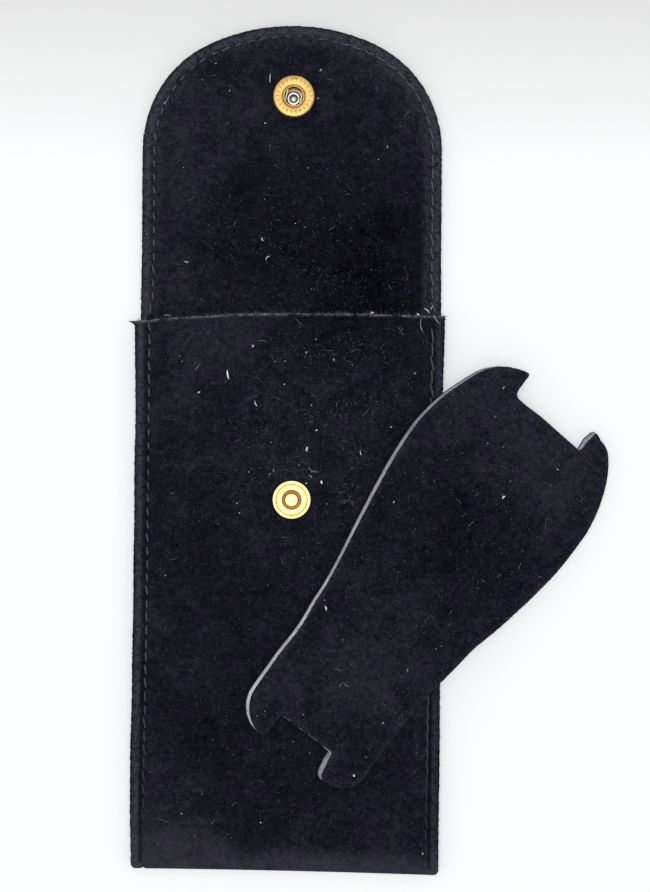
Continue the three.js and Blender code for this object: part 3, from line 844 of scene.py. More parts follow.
def roughened(rings, count, seed, amount):
    """Rings whose way out changes from point to point, as the threads of a cut edge do."""
    rng = np.random.default_rng(seed)
    inner = [(offset + rng.uniform(-amount, amount, count), level) for offset, level in rings[1:-1]]
    return [rings[0], *inner, rings[-1]]


def seam_aside(s):
    """How far to the right of its nominal place each row of stitches runs."""
    return SEAM_SHIFT - SEAM_DRIFT * between(np.abs(s - front_length), 80.0, 0.0)


def seam_line(step):
    """The whole row of stitches on the flat strip, from the mouth on the right round to the left."""
    flap = flap_line(FLAP_SEAM_INSET, step)
    shoulder = (flap[0][0], mouth_s + SEAM_SHOULDER_RUN)
    right = np.vstack([
        straight((seam_x, 0.0), (seam_x, mouth_s), step),
        straight((seam_x, mouth_s), shoulder, step),
        straight(shoulder, flap[0], step),
        flap,
    ])
    line = both_sides(right, (0.0, strip_length - FLAP_SEAM_INSET))
    line[:, 0] += seam_aside(line[:, 1])
    return evenly(line, step)


seam = seam_line(SEAM_STEP)
seam_along = lengths_along(seam)
seam_tree = tree_of(seam)


def squeeze_at(flat):
    """How much of its thickness the cloth loses under the stitches, from 0 to about 0.9."""
    near = [seam_tree.find((x, s, 0.0)) for x, s in flat]
    away = np.array([found[2] for found in near])
    along = seam_along[[found[1] for found in near]]
    holes = 0.5 + 0.5 * np.cos(2.0 * math.pi * along / STITCH_PITCH)
    groove = np.exp(-((away / GROOVE_WIDTH) ** 2)) * (GROOVE_SQUEEZE + HOLE_EXTRA * holes)
    pucker = np.exp(-((away / PUCKER_WIDTH) ** 2)) * PUCKER_SQUEEZE * (0.6 + 0.4 * holes)
    return (groove + pucker) * between(np.abs(flat[:, 1] - front_length - bend_length / 2), 2.0, 4.0)


def folded(s, depth):
    """The strip folded at the bottom, and turned up to the flap over the ease on each side of its fold."""
    turn = np.clip((s - front_length) / bend_length, 0.0, 1.0) * math.pi
    radius = bend_radius + depth
    level_y = np.where(s < front_length, mouth_y - s, bend_y + np.maximum(s - back_start, 0.0))
    past = s - fold_s
    ease = np.clip((past + FOLD_EASE) / (2.0 * FOLD_EASE), 0.0, 1.0)
    lift = np.where(past > FOLD_EASE, past, ease**2 * FOLD_EASE) * math.tan(flap_tilt)
    y = level_y - radius * np.sin(turn) + ease * (fold_drop + depth) * math.sin(flap_tilt)
    return y, bend_z + radius * np.cos(turn) + lift


def half_width_at(x, y):
    """The pocket's half width: rounded at the bottom corners, taken in along the sides."""
    into_corner = SQUARE_CORNER - np.clip(y - bottom_y, 0.0, SQUARE_CORNER)
    rounded = half_width - SQUARE_CORNER + np.sqrt(SQUARE_CORNER**2 - into_corner**2)
    spread = LEFT_SPREAD * (x < 0) * between(y, -5.0, -45.0) * (1.0 - 0.9 * between(y, -56.0, -69.0))
    return rounded + spread - SIDE_TAKEN_IN * between(y, mouth_y - 2.0, mouth_y - 22.0)


def sideways(x, y, s):
    """Where the cloth lies across the pouch: the pocket's own width, and the flap set off to the right."""
    outer = np.clip((np.abs(x) - seam_x + 1.0) / (half_width - seam_x + 1.0), 0.0, 1.2)
    on_pocket = between(s, mouth_s + 3.0, mouth_s)
    x = x - np.sign(x) * outer * (half_width - half_width_at(x, y)) * on_pocket
    on_flap = between(s, mouth_s - 1.5, mouth_s + 0.5) * between(np.abs(x), 39.3, 38.3)
    wider = FLAP_EXTRA * (1.0 + 0.5 * between(s - fold_s, 12.0, 0.0)) * x / flap_half_width
    return x + on_flap * (FLAP_SHIFT + wider)


def swell(x):
    """How far the front stands off the back across the pocket, from 0 at the seams to 1."""
    out = np.clip((np.abs(x) - LEVEL_HALF_WIDTH) / (seam_x - LEVEL_HALF_WIDTH), 0.0, 1.0)
    return 1.0 - out * out


def rise_at(x, y, s):
    """How far the cloth stands up: the front swells, and both front and flap wave a little."""
    taper = np.sin(np.clip((y - bend_y) / BOTTOM_TAPER, 0.0, 1.0) * math.pi / 2)
    free = swell(x) * taper * (s < front_length)
    off_stud = between(np.hypot(x, y - stud_y), 5.5, 17.5)
    front_waves = rolling(x, y, FRONT_WAVES) - FRONT_SINK
    past = s - fold_s
    on_flap = between(past, 4.0, 26.0)
    off_snap = between(np.hypot(x, past - SNAP_REACH), 7.0, 21.0)
    flap_waves = on_flap * off_snap * rolling(x, s, FLAP_WAVES)
    return free * (front_rise + off_stud * front_waves) + flap_waves


def off_square(x, y, s):
    """Where the cloth lies along the pouch, as the mouth, the bottom fold and the flap's end run aslant."""
    left = np.clip((8.0 - x) / 48.0, 0.0, 1.0)
    mouth_shift = MOUTH_TOP - MOUTH_DIP_LEFT * left**2
    at_shoulder = np.exp(-(((s - mouth_s) / 5.0) ** 2)) * between(np.abs(x), 37.0, 38.5)
    y = y + mouth_shift * between(s, 40.0, 0.0) + (mouth_shift - SHOULDER_DROP) * at_shoulder
    across = x / half_width
    fall = BOTTOM_DROP - BOTTOM_HOLLOW * (1.0 - across**2) + BOTTOM_SLANT * across
    y = y - fall * between(y, bottom_y + 45.0, bottom_y)
    round_fold = np.exp(-(((s - front_length - bend_length / 2) / 1.2) ** 2))
    at_last_stitch = np.exp(-(((x + seam_x + SEAM_DRIFT - SEAM_SHIFT) / 0.4) ** 2))
    y = y + BOTTOM_NICK * round_fold * at_last_stitch
    return y + FLAP_END_EXTRA * between(s - fold_s, 40.0, 65.0)


def place_strip(flat, depth):
    """Where the flat strip's points go. Depth counts from the lining's face to the outer face."""
    x, s = flat[:, 0], flat[:, 1]
    depth = PANEL / 2 + (depth - PANEL / 2) * (1.0 - squeeze_at(flat))
    y, z = folded(s, depth)
    x = sideways(x, y, s)
    z = z + rise_at(x, y, s)
    return np.column_stack([x, off_square(x, y, s), z])


# Where the pile was stroked lighter or darker: x, y, reach and how much
POUCH_BRUSHED = [
    (-25.0, 118.0, 16.0, 0.6),
    (2.0, 141.0, 14.0, 0.1),
    (-7.0, 99.0, 15.0, -0.5),
    (20.0, 82.0, 16.0, -0.8),
    (29.0, 103.0, 10.0, -0.3),
    (-24.0, 64.0, 13.0, 0.4),
    (-14.0, 2.0, 16.0, -0.3),
    (-25.0, -36.0, 14.0, -0.4),
    (-27.0, 63.0, 11.0, -0.3),
    (-25.0, 120.0, 12.0, -0.25),
    (-35.0, -40.0, 7.0, 0.35),
    (-35.0, -54.0, 7.0, 0.35),
    (-6.0, -56.0, 16.0, -0.35),
    (30.0, -60.0, 12.0, -0.1),
]
BOARD_BRUSHED = [
    (55.0, 47.0, 13.0, 0.35),
    (42.0, 16.0, 13.0, -0.6),
    (72.0, 31.0, 11.0, 0.45),
    (19.0, -22.0, 13.0, 0.4),
]
# Where more lint lies: round the mouth, above the stud and to the right of it
LINT_DRIFTS = [
    (8.0, 62.0, 26.0, 1.0),
    (10.0, 40.0, 22.0, 0.9),
    (24.0, 20.0, 20.0, 0.6),
    (-6.0, 88.0, 26.0, 0.5),
    (-1.0, 33.0, 11.0, 1.8),
]
LINT_EVERYWHERE = 0.36
BOTTOM_FOLD_HIGHLIGHT = 1.15  # how much lighter the pile is painted along the bottom fold: a painted highlight where the fold's curve catches the light


def spots_at(x, y, spots):
    """The sum of soft round spots, each given by x, y, reach and amount."""
    total = np.zeros(np.shape(x))
    for spot_x, spot_y, reach, amount in spots:
        total = total + amount * np.exp(-((x - spot_x) ** 2 + (y - spot_y) ** 2) / reach**2)
    return total


def density_of_lint(x, y):
    """Lint in loose drifts, more of it at some places."""
    loose = np.clip(0.55 + 0.75 * waves(x, y, 13.0, 21), 0.05, 1.6)
    return (LINT_EVERYWHERE + spots_at(x, y, LINT_DRIFTS)) * loose


def worn_border(x, s, to_edge):
    """Where the pile is worn grey: on the flange outside the seams, and on the flap a little inside too."""
    from_side = np.where(s < mouth_s, half_width - np.abs(x), to_edge)
    faded = np.where(x > 0, 0.36, 0.1) * (1.0 + 0.5 * smooth(s / front_length)) * (s < front_length)
    flange = between(from_side, 2.9, 1.7) * between(from_side, 0.2, 0.55) * (1.0 - faded)
    beside_seam = np.where(x > 0, 0.5, 0.25) * between(to_edge, 5.4, 3.8) * (s > mouth_s)
    return np.clip(np.maximum(flange, beside_seam), 0.0, 1.0)


def cut_threads(s, level, to_edge, on_rim):
    """Where grey threads show: the interlining in the cut edge, and the raw mouth with its worn lip."""
    in_the_middle = (level > INTERLINING_LEVELS[0]) & (level < INTERLINING_LEVELS[1])
    raw = on_rim * np.maximum(0.45 * in_the_middle, between(s, 0.5, 0.0))
    lip = 0.6 * between(s, 0.8, 0.0) * (level > PANEL / 2) * (to_edge < 0.5)
    return np.clip(raw + lip, 0.0, 1.0)


def dark_furrow(x, s):
    """The shade in the furrow outside the front's stitches, and a fainter one inside the flap's."""
    from_seam = seam_x - np.abs(x - seam_aside(s))
    front = np.exp(-(((from_seam + 0.75) / 0.45) ** 2)) * (s < front_length)
    inside = np.exp(-(((from_seam - 0.6) / 0.5) ** 2)) * (s >= front_length) * (s < fold_s + 40.0)
    return np.clip(0.75 * front + 0.2 * inside, 0.0, 1.0)


def painted_fold_highlight(x, s):
    """A painted highlight: the pile lighter along the bottom fold, where its curve catches the light,
    reaching further up at the left.
    """
    above_fold = front_length - s
    reach = 6.5 + 11.0 * between(x, -8.0, -24.0)
    return BOTTOM_FOLD_HIGHLIGHT * between(above_fold, reach, 0.0) * between(above_fold, -2.0, -0.5)


def make_cloth():
    outline = ragged(strip_outline(STRIP_STEP), 31, 0.10, 0.10)
    rings = roughened(STRIP_RINGS, len(outline), 32, 0.05)
    across = np.arange(-half_width + BEND_MARGIN, half_width - BEND_MARGIN + 0.1, BEND_COLUMN)
    levels = np.linspace(front_length, back_start, BEND_ROWS + 1)
    bend_rows = np.array([(x, s) for s in levels for x in across])
    slab = Slab("pouch_cloth", outline, rings, place_strip, STRIP_LATTICE, STRIP_BAND, bend_rows)
    x, s = slab.flat[:, 0], slab.flat[:, 1]
    places = place_strip(slab.flat, slab.level)
    at_mouth = between(s, 0.5, 0.0)
    face_up = np.where(s < front_length, slab.level > PANEL / 2, slab.level < PANEL / 2)
    open_to_view = (s < front_length + 2.0) | (s > mouth_s)
    seen = np.where(face_up & open_to_view, 1.0, 0.10) * (slab.to_edge > 0.5)
    marks = {
        "border": worn_border(x, s, slab.to_edge),
        "cut": cut_threads(s, slab.level, slab.to_edge, slab.on_rim),
        "furrow": dark_furrow(x, s),
        "rim": slab.on_rim * (1.0 - at_mouth) * (places[:, 2] > PILE_CLEAR),
        "mouth_rim": slab.on_rim * at_mouth,
        # the pile's stroked tone, plus the painted highlight along the bottom fold
        "brushed": spots_at(places[:, 0], places[:, 1], POUCH_BRUSHED) + painted_fold_highlight(x, s),
        "lint": density_of_lint(places[:, 0], places[:, 1]) * seen,
    }
    point_values(slab.mesh, marks)
    piece = new_piece("pouch_cloth", slab.mesh, velvet)
    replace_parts(piece, "pocket_outer_velvet", "pocket_interlining", "pocket_lining")
    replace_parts(piece, "flap_outer_velvet", "flap_interlining", "flap_lining")
    across_fold(piece)
    return piece


# Geometry Nodes: what their trees share


def group_input(tree, name, kind, value=None):
    socket = tree.interface.new_socket(name, in_out="INPUT", socket_type=kind)
    if value is not None:
        socket.default_value = value


def new_tree(name, numbers, more=()):
    """A geometry tree with one geometry in, named numbers, a seed, a mask's name and a finish.

    more holds the names and kinds of further inputs.
    """
    tree = bpy.data.node_groups.new(name, "GeometryNodeTree")
    group_input(tree, "Carrier", "NodeSocketGeometry")
    for label, value in numbers.items():
        group_input(tree, label, "NodeSocketFloat", value)
    group_input(tree, "Seed", "NodeSocketInt", 1)
    group_input(tree, "Mask", "NodeSocketString", "")
    group_input(tree, "Finish", "NodeSocketMaterial")
    for label, kind in more:
        group_input(tree, label, kind)
    tree.interface.new_socket("Made", in_out="OUTPUT", socket_type="NodeSocketGeometry")
    return tree, tree.nodes.new("NodeGroupInput").outputs


def end_tree(tree, shapes, finish):
    """Makes the shapes real, gives them their finish and sends them out of the tree."""
    real = add_node(tree, "GeometryNodeRealizeInstances", {"Geometry": shapes}).outputs[0]
    made = add_node(tree, "GeometryNodeSetMaterial", {"Geometry": real, "Material": finish}).outputs[0]
    tree.links.new(made, tree.nodes.new("NodeGroupOutput").inputs[0])
    return tree


def random_number(tree, low, high, seed, for_each="POINT"):
    """A random number, the same over each point or over each curve."""
    inputs = {2: low, 3: high, "Seed": seed}
    made = add_node(tree, "FunctionNodeRandomValue", inputs, data_type="FLOAT").outputs[1]
    if for_each == "POINT":
        return made
    field = add_node(tree, "GeometryNodeFieldOnDomain", {0: made}, domain=for_each, data_type="FLOAT")
    return field.outputs[0]


def vectors(tree, operation, first, second):
    return add_node(tree, "ShaderNodeVectorMath", {0: first, 1: second}, operation=operation).outputs[0]


def three(tree, x=0.0, y=0.0, z=0.0):
    return add_node(tree, "ShaderNodeCombineXYZ", {"X": x, "Y": y, "Z": z}).outputs[0]


def turned_by(tree, rotation, angles):
    """A rotation with a further turn about its own axes."""
    turn = add_node(tree, "FunctionNodeEulerToRotation", {0: angles}).outputs[0]
    inputs = {"Rotation": rotation, "Rotate By": turn}
    return add_node(tree, "FunctionNodeRotateRotation", inputs, rotation_space="LOCAL").outputs[0]


def aligned(tree, axis, direction):
    """The rotation that turns an axis along a direction."""
    return add_node(tree, "FunctionNodeAlignRotationToVector", {"Vector": direction}, axis=axis).outputs[0]


def towards_tip(tree):
    """0 at the start of each curve and 1 at its end."""
    return tree.nodes.new("GeometryNodeSplineParameter").outputs["Factor"]


def laid_on(tree, points, shape, rotation, size):
    inputs = {"Points": points, "Instance": shape, "Rotation": rotation, "Scale": size}
    return add_node(tree, "GeometryNodeInstanceOnPoints", inputs).outputs[0]


def grown(name, carrier, tree, values):
    """What a tree makes of a carrier object, as a plain mesh."""
    worker = bpy.data.objects.new(name + "_worker", carrier.data)
    scene.collection.objects.link(worker)
    modifier = worker.modifiers.new("grow", "NODES")
    modifier.node_group = tree
    for item in tree.interface.items_tree:
        if item.item_type == "SOCKET" and item.in_out == "INPUT" and item.name in values:
            modifier[item.identifier] = values[item.name]
    depsgraph = bpy.context.evaluated_depsgraph_get()
    mesh = bpy.data.meshes.new_from_object(worker.evaluated_get(depsgraph), depsgraph=depsgraph)
    mesh.name = name
    for layer in [a.name for a in mesh.attributes if not a.is_required and not a.is_internal]:
        if layer in mesh.attributes and layer not in ("material_index", "sharp_face"):
            mesh.attributes.remove(mesh.attributes[layer])
    mesh.shade_smooth()
    bpy.data.objects.remove(worker)
    return mesh


# Fibres: one tree for what lies on a surface and one for what stands out of it

BEND_SIZE = 1.7  # of the soft noise that bends each fibre its own way
BEND_FLATNESS = 0.12  # how much of the bend goes up and down
STANDING_LEAN = 1.0  # radians to each side
LYING_LEAN = 0.05
ROOT_DEPTH = 0.1  # share of a standing fibre's length that is in the cloth
TIP_LEFT = 0.15  # share of a standing fibre's thickness that is left at its tip


def fibre_tree(name, standing):
    """Fibres that lie on the carrier, or stand out of it, each bent by its own bit of noise."""
    numbers = {"Density": 1e5, "Shortest": 1 * MM, "Longest": 2 * MM, "Radius": 0.03 * MM, "Curl": 0.4 * MM}
    tree, given = new_tree(name, {**numbers, "Joints": 4.0})
    seed = given["Seed"]
    mask = add_node(tree, "GeometryNodeInputNamedAttribute", {"Name": given["Mask"]}, data_type="FLOAT")
    density = maths(tree, "MULTIPLY", given["Density"], mask.outputs["Attribute"])
    inputs = {"Mesh": given["Carrier"], "Density": density, "Seed": seed}
    points = add_node(tree, "GeometryNodeDistributePointsOnFaces", inputs).outputs

    # A short line at each point, leaning and spun its own way, most of them nearer the shortest
    lean = STANDING_LEAN if standing else LYING_LEAN
    spin = random_number(tree, 0.0, 2.0 * math.pi, seed)
    angles = three(tree, y=random_number(tree, -lean, lean, seed), z=spin)
    rotation = turned_by(tree, points["Rotation"], angles)
    ends = ((0.0, 0.0, -ROOT_DEPTH), (0.0, 0.0, 1.0)) if standing else ((-0.5, 0.0, 0.0), (0.5, 0.0, 0.0))
    line = add_node(tree, "GeometryNodeCurvePrimitiveLine", {"Start": ends[0], "End": ends[1]}).outputs[0]
    fine = add_node(tree, "GeometryNodeResampleCurve", {"Curve": line, "Count": given["Joints"]}).outputs[0]
    share = random_number(tree, 0.0, 1.0, maths(tree, "ADD", seed, 3.0))
    length = from_to(tree, maths(tree, "POWER", share, 2.0), 0.0, 1.0, given["Shortest"], given["Longest"])
    laid = laid_on(tree, points["Points"], fine, rotation, length)
    real = add_node(tree, "GeometryNodeRealizeInstances", {"Geometry": laid}).outputs[0]

    # It bends, a standing one more and more towards its tip, and a lying one is raised by its thickness
    where = tree.nodes.new("GeometryNodeInputPosition").outputs[0]
    inputs = {"Vector": where, "Scale": 1.0 / (BEND_SIZE * MM), "Detail": 1.0}
    field = add_node(tree, "ShaderNodeTexNoise", inputs).outputs["Color"]
    centred = vectors(tree, "SUBTRACT", field, (0.5, 0.5, 0.5))
    flattened = vectors(tree, "MULTIPLY", centred, (1.0, 1.0, BEND_FLATNESS))
    strength = maths(tree, "MULTIPLY", given["Curl"], random_number(tree, 0.2, 1.6, seed, "CURVE"))
    if standing:
        strength = maths(tree, "MULTIPLY", strength, towards_tip(tree))
    inputs = {0: flattened, "Scale": strength}
    offset = add_node(tree, "ShaderNodeVectorMath", inputs, operation="SCALE").outputs[0]
    if not standing:
        offset = vectors(tree, "ADD", offset, three(tree, z=maths(tree, "MULTIPLY", given["Radius"], 1.4)))
    bent = add_node(tree, "GeometryNodeSetPosition", {"Geometry": real, "Offset": offset}).outputs[0]

    # It gets its thickness, which a standing one loses towards its tip
    thick = random_number(tree, 0.6, 1.5, seed, "CURVE")
    if standing:
        thick = maths(tree, "MULTIPLY", thick, maths(tree, "SUBTRACT", 1.0 + TIP_LEFT, towards_tip(tree)))
    sides = 3 if standing else 4
    ring = add_node(tree, "GeometryNodeCurvePrimitiveCircle", {"Resolution": sides, "Radius": 1.0})
    inputs = {"Curve": bent, "Profile Curve": ring.outputs[0], "Fill Caps": True}
    inputs["Scale"] = maths(tree, "MULTIPLY", thick, given["Radius"])
    return end_tree(tree, add_node(tree, "GeometryNodeCurveToMesh", inputs).outputs[0], given["Finish"])


lying = fibre_tree("lying fibres", standing=False)
upright = fibre_tree("standing fibres", standing=True)

# How many to a square millimetre, then sizes in millimetres, and how many points each one is drawn with
Fibre = namedtuple("Fibre", "tree mask finish per_mm2 shortest longest radius curl joints")
PILE_AND_LINT = {
    "edge_pile": Fibre(upright, "rim", pile_ends, 4.0, 0.18, 0.75, 0.022, 0.5, 4.0),
    "lint_dust": Fibre(lying, "lint", faint_lint, 0.80, 0.12, 0.9, 0.085, 0.5, 3.0),
    "lint_hairs": Fibre(lying, "lint", pale_lint, 0.045, 0.5, 3.0, 0.050, 1.4, 7.0),
    "lint_flecks": Fibre(lying, "lint", white_lint, 0.008, 0.15, 0.5, 0.090, 0.2, 3.0),
}
BACK_PILE = Fibre(upright, "rim", pile_ends, 3.0, 0.15, 0.5, 0.022, 0.4, 4.0)
MOUTH_FUZZ = Fibre(upright, "mouth_rim", raw_ends, 9.0, 0.2, 1.5, 0.035, 0.9, 4.0)


def grow_fibres(name, carrier, sort, seed):
    """A piece of one sort of fibre, grown on the carrier."""
    values = {
        "Density": sort.per_mm2 / MM**2,
        "Shortest": sort.shortest * MM,
        "Longest": sort.longest * MM,
        "Radius": sort.radius * MM,
        "Curl": sort.curl * MM,
        "Joints": sort.joints,
        "Seed": seed,
        "Mask": sort.mask,
        "Finish": sort.finish,
    }
    return new_piece(name, grown(name, carrier, sort.tree, values), None)


def pile_and_lint(carrier, kind, seed):
    """The pile's ends along the cut edges, and three sorts of lint."""
    return [
        grow_fibres(f"{kind}_{name}", carrier, sort, seed + k)
        for k, (name, sort) in enumerate(PILE_AND_LINT.items())
    ]


# Stitches

STITCH_SIDES = 6
# One end of a stitch: share of its length, share of its rise and share of its thickness
STITCH_END = [(0.0, -1.6, 0.75), (0.14, -0.25, 0.95), (0.36, 1.0, 1.0)]
STITCH_LINE_STEP = 0.5


def stitch_mesh():
    """One stitch: a short thread that dips into the cloth at both ends."""
    rings = STITCH_END + [(1.0 - share, rise, size) for share, rise, size in STITCH_END[::-1]]
    side, above = np.array([0.0, 1.0, 0.0]), np.array([0.0, 0.0, 1.0])
    points = []
    for share, rise, size in rings:
        middle = np.array([(share - 0.5) * STITCH_LENGTH, 0.0, rise * STITCH_RISE])
        points += ring_points(middle, side, above, THREAD_RADIUS * size, STITCH_SIDES)
    return mesh_of("stitch", points, tube_faces(0, len(rings), STITCH_SIDES))


def stitch_tree():
    """A stitch at every pitch along the carrier's lines, turned along them and a little aslant."""
    numbers = {"Pitch": STITCH_PITCH * MM, "Slant": math.radians(STITCH_SLANT), "Unevenness": 0.12}
    tree, given = new_tree("row of stitches", {**numbers, "Stretch": 1.0}, [("Stitch", "NodeSocketObject")])
    seed = given["Seed"]
    curve = add_node(tree, "GeometryNodeMeshToCurve", {"Mesh": given["Carrier"]}).outputs[0]
    inputs = {"Curve": curve, "Length": given["Pitch"]}
    points = add_node(tree, "GeometryNodeCurveToPoints", inputs, mode="LENGTH").outputs
    uneven = maths(tree, "MULTIPLY", random_number(tree, -1.0, 1.0, seed), given["Unevenness"])
    aslant = three(tree, z=maths(tree, "ADD", given["Slant"], uneven))
    rotation = turned_by(tree, aligned(tree, "X", points["Tangent"]), aslant)
    inputs = {"Object": given["Stitch"], "As Instance": True}
    shape = add_node(tree, "GeometryNodeObjectInfo", inputs).outputs["Geometry"]
    longer = maths(tree, "MULTIPLY", random_number(tree, 0.86, 1.1, seed), given["Stretch"])
    laid = laid_on(tree, points[0], shape, rotation, three(tree, longer, 1.0, 1.0))
    return end_tree(tree, laid, given["Finish"])


def seam_run(start, end):
    """Part of the seam line from start to end along it, beginning in the middle of a stitch."""
    first = (math.ceil(start / STITCH_PITCH) + 0.5) * STITCH_PITCH
    count = int((end - first) / STITCH_LINE_STEP)
    wanted = first + STITCH_LINE_STEP * np.arange(count)
    return np.column_stack([np.interp(wanted, seam_along, seam[:, k]) for k in range(2)])


def stitch_line(name, run, depth):
    """A line in space for the stitches to follow: a run of the flat seam, on the face at that depth."""
    points = place_strip(run, np.full(len(run), depth))
    mesh = bpy.data.meshes.new(name)
    mesh.from_pydata((points * MM).tolist(), [(k, k + 1) for k in range(len(points) - 1)], [])
    return bpy.data.objects.new(name, mesh)


def make_stitches():
    whole = seam_along[-1]
    front = (1.0, front_length - 1.5)
    flap = (mouth_s + 0.6, whole - mouth_s - 0.6)
    back = (back_start + 1.5, whole - back_start - 1.5)
    tree = stitch_tree()
    shape = bpy.data.objects.new("stitch_shape", stitch_mesh())
    values = {"Finish": thread, "Seed": 41, "Stitch": shape}
    bobbin_nodes = ("left_bobbin_thread", "right_bobbin_thread", "flap_bobbin_thread")
    for name, run, depth, stretch, nodes in (
        ("right_stitches", seam_run(*front), PANEL, 1.75, ("right_seam_thread",)),
        ("left_stitches", seam_run(whole - front[1], whole - front[0]), PANEL, 1.35, ("left_seam_thread",)),
        ("flap_stitches", seam_run(*flap), 0.0, 1.4, ("flap_edge_thread",)),
        ("bobbin_stitches", seam_run(*back), PANEL, 1.0, bobbin_nodes),
    ):
        line = stitch_line(name + "_line", run, depth)
        scene.collection.objects.link(line)
        piece = new_piece(name, grown(name, line, tree, {**values, "Stretch": stretch}), None)
        bpy.data.objects.remove(line)
        across_fold(piece)
        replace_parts(piece, *nodes)
    bpy.data.objects.remove(shape)


# Cradle board

BOARD_STEP = 0.5  # between points of the cut edge
BOARD_LATTICE = 0.72  # and between those of the faces, which are twice as coarse past the band
BOARD_BAND = 3.0
NOTCH_EASE = 0.8  # a notch's slant reaches this far past its walls
FLARE_SPREAD = 5  # the flare is evened out over this many points to each side
LAYER_GAP = 0.01
VELVET_EDGE = [(-0.26, 1.0), (-0.08, 0.94), (0.0, 0.72), (0.02, 0.35), (-0.03, 0.06), (-0.25, 0.0)]
BOARD_EDGE = [(-0.06, 1.0), (-0.02, 0.9), (0.0, 0.7), (-0.01, 0.5), (0.0, 0.3), (-0.02, 0.1), (-0.06, 0.0)]


def board_outline(step):
    """The board flat: u across, v along it from the lower notch's floor to the upper one's."""
    foot = -LOWER_NOTCH["deep"]
    toe = LOWER_NOTCH["half"] + LOWER_NOTCH["flare"]
    horn = UPPER_NOTCH["half"] + UPPER_NOTCH["flare"]
    horn_v = NOTCH_SPAN + UPPER_NOTCH["deep"]
    side = np.vstack([
        straight((LOWER_NOTCH["half"], 0.0), (toe, foot + BOARD_TOE), step),
        arc((toe + BOARD_TOE, foot + BOARD_TOE), BOARD_TOE, math.pi, 1.5 * math.pi, step / 2),
        straight((toe + BOARD_TOE, foot), (BOARD_NECK - BOARD_FOOT, foot), step),
        arc((BOARD_NECK - BOARD_FOOT, foot + BOARD_FOOT), BOARD_FOOT, -math.pi / 2, 0.0, step),
        straight((BOARD_NECK, foot + BOARD_FOOT), (BOARD_NECK, BOARD_NECK_TOP), step),
        bezier(
            (BOARD_NECK, BOARD_NECK_TOP),
            (BOARD_NECK, BOARD_NECK_TOP + BOARD_SIDE_EASE),
            (BOARD_HEAD - 1.0, BOARD_HEAD_HEIGHT - BOARD_SIDE_EASE),
            (BOARD_HEAD, BOARD_HEAD_HEIGHT),
            step,
        ),
        bezier(
            (BOARD_HEAD, BOARD_HEAD_HEIGHT),
            (BOARD_HEAD, BOARD_HEAD_HEIGHT + BOARD_SHOULDER_RISE),
            (horn + BOARD_HORN_RUN, horn_v - BOARD_HORN_DROP),
            (horn, horn_v),
            step,
        ),
        straight((horn, horn_v), (UPPER_NOTCH["half"], NOTCH_SPAN), step),
    ])
    upper_floor = straight((UPPER_NOTCH["half"], NOTCH_SPAN), (-UPPER_NOTCH["half"], NOTCH_SPAN), step)
    left = side[::-1] * [-1.0, 1.0]
    lower_floor = straight((-LOWER_NOTCH["half"], 0.0), (LOWER_NOTCH["half"], 0.0), step)[1:]
    line = np.vstack([side, upper_floor, left, lower_floor])

    # Each notch's floor runs a little off square, and its walls go with it
    u = line[:, 0]
    for notch, floor_v, away in ((UPPER_NOTCH, NOTCH_SPAN, 1.0), (LOWER_NOTCH, 0.0, -1.0)):
        above_floor = (line[:, 1] - floor_v) * away
        inside = between(np.abs(u), notch["half"] + NOTCH_EASE, notch["half"])
        fades = between(above_floor, notch["deep"], 0.0) * (np.abs(above_floor) < notch["deep"] + 0.5)
        line[:, 1] += u * math.tan(math.radians(notch["turned"])) * inside * fades
    return strayed(line)


def at_waist(v):
    return np.exp(-(((v - WAIST_AT[0]) / WAIST_AT[1]) ** 2))


def strayed(line):
    """The board's line as it was really cut, its corners a little blunt."""
    pull = np.zeros(len(line))
    moved = np.zeros_like(line)
    for u, v, du, dv in KNIFE_STRAYS:
        near = np.exp(-((line[:, 0] - u) ** 2 + (line[:, 1] - v) ** 2) / STRAY_REACH**2)
        pull += near
        moved += near[:, None] * [du, dv]
    line = line + moved / np.maximum(pull, 1.0)[:, None]
    cut_in = LEFT_CUT_IN * (1.0 - WAIST_CUT_IN_LOSS * at_waist(line[:, 1]))
    line[:, 0] += cut_in * between(line[:, 0], -12.0, -16.0)
    for _ in range(2):
        line = 0.5 * line + 0.25 * (np.roll(line, 1, axis=0) + np.roll(line, -1, axis=0))
    return line


board_turn = np.array(Matrix.Rotation(math.radians(BOARD_TURN), 3, "Z"))
board_lean = np.array(Matrix.Rotation(math.radians(BOARD_LEAN), 3, "Y"))


def place_board(flat, level):
    """Lays the board across the pocket: turned, and leaning from the swollen front down to the table."""
    soft = rolling(*flat.T, BOARD_WAVES) * between(level, BOARD_VELVET, BOARD_THICKNESS)
    points = np.column_stack([flat, level + soft])
    points = points @ board_turn.T + [BOARD_PLACE[0] - board_table_x, BOARD_PLACE[1], 0.0]
    return points @ board_lean.T + [board_table_x + BOARD_NUDGE[0], BOARD_NUDGE[1], 0.0]


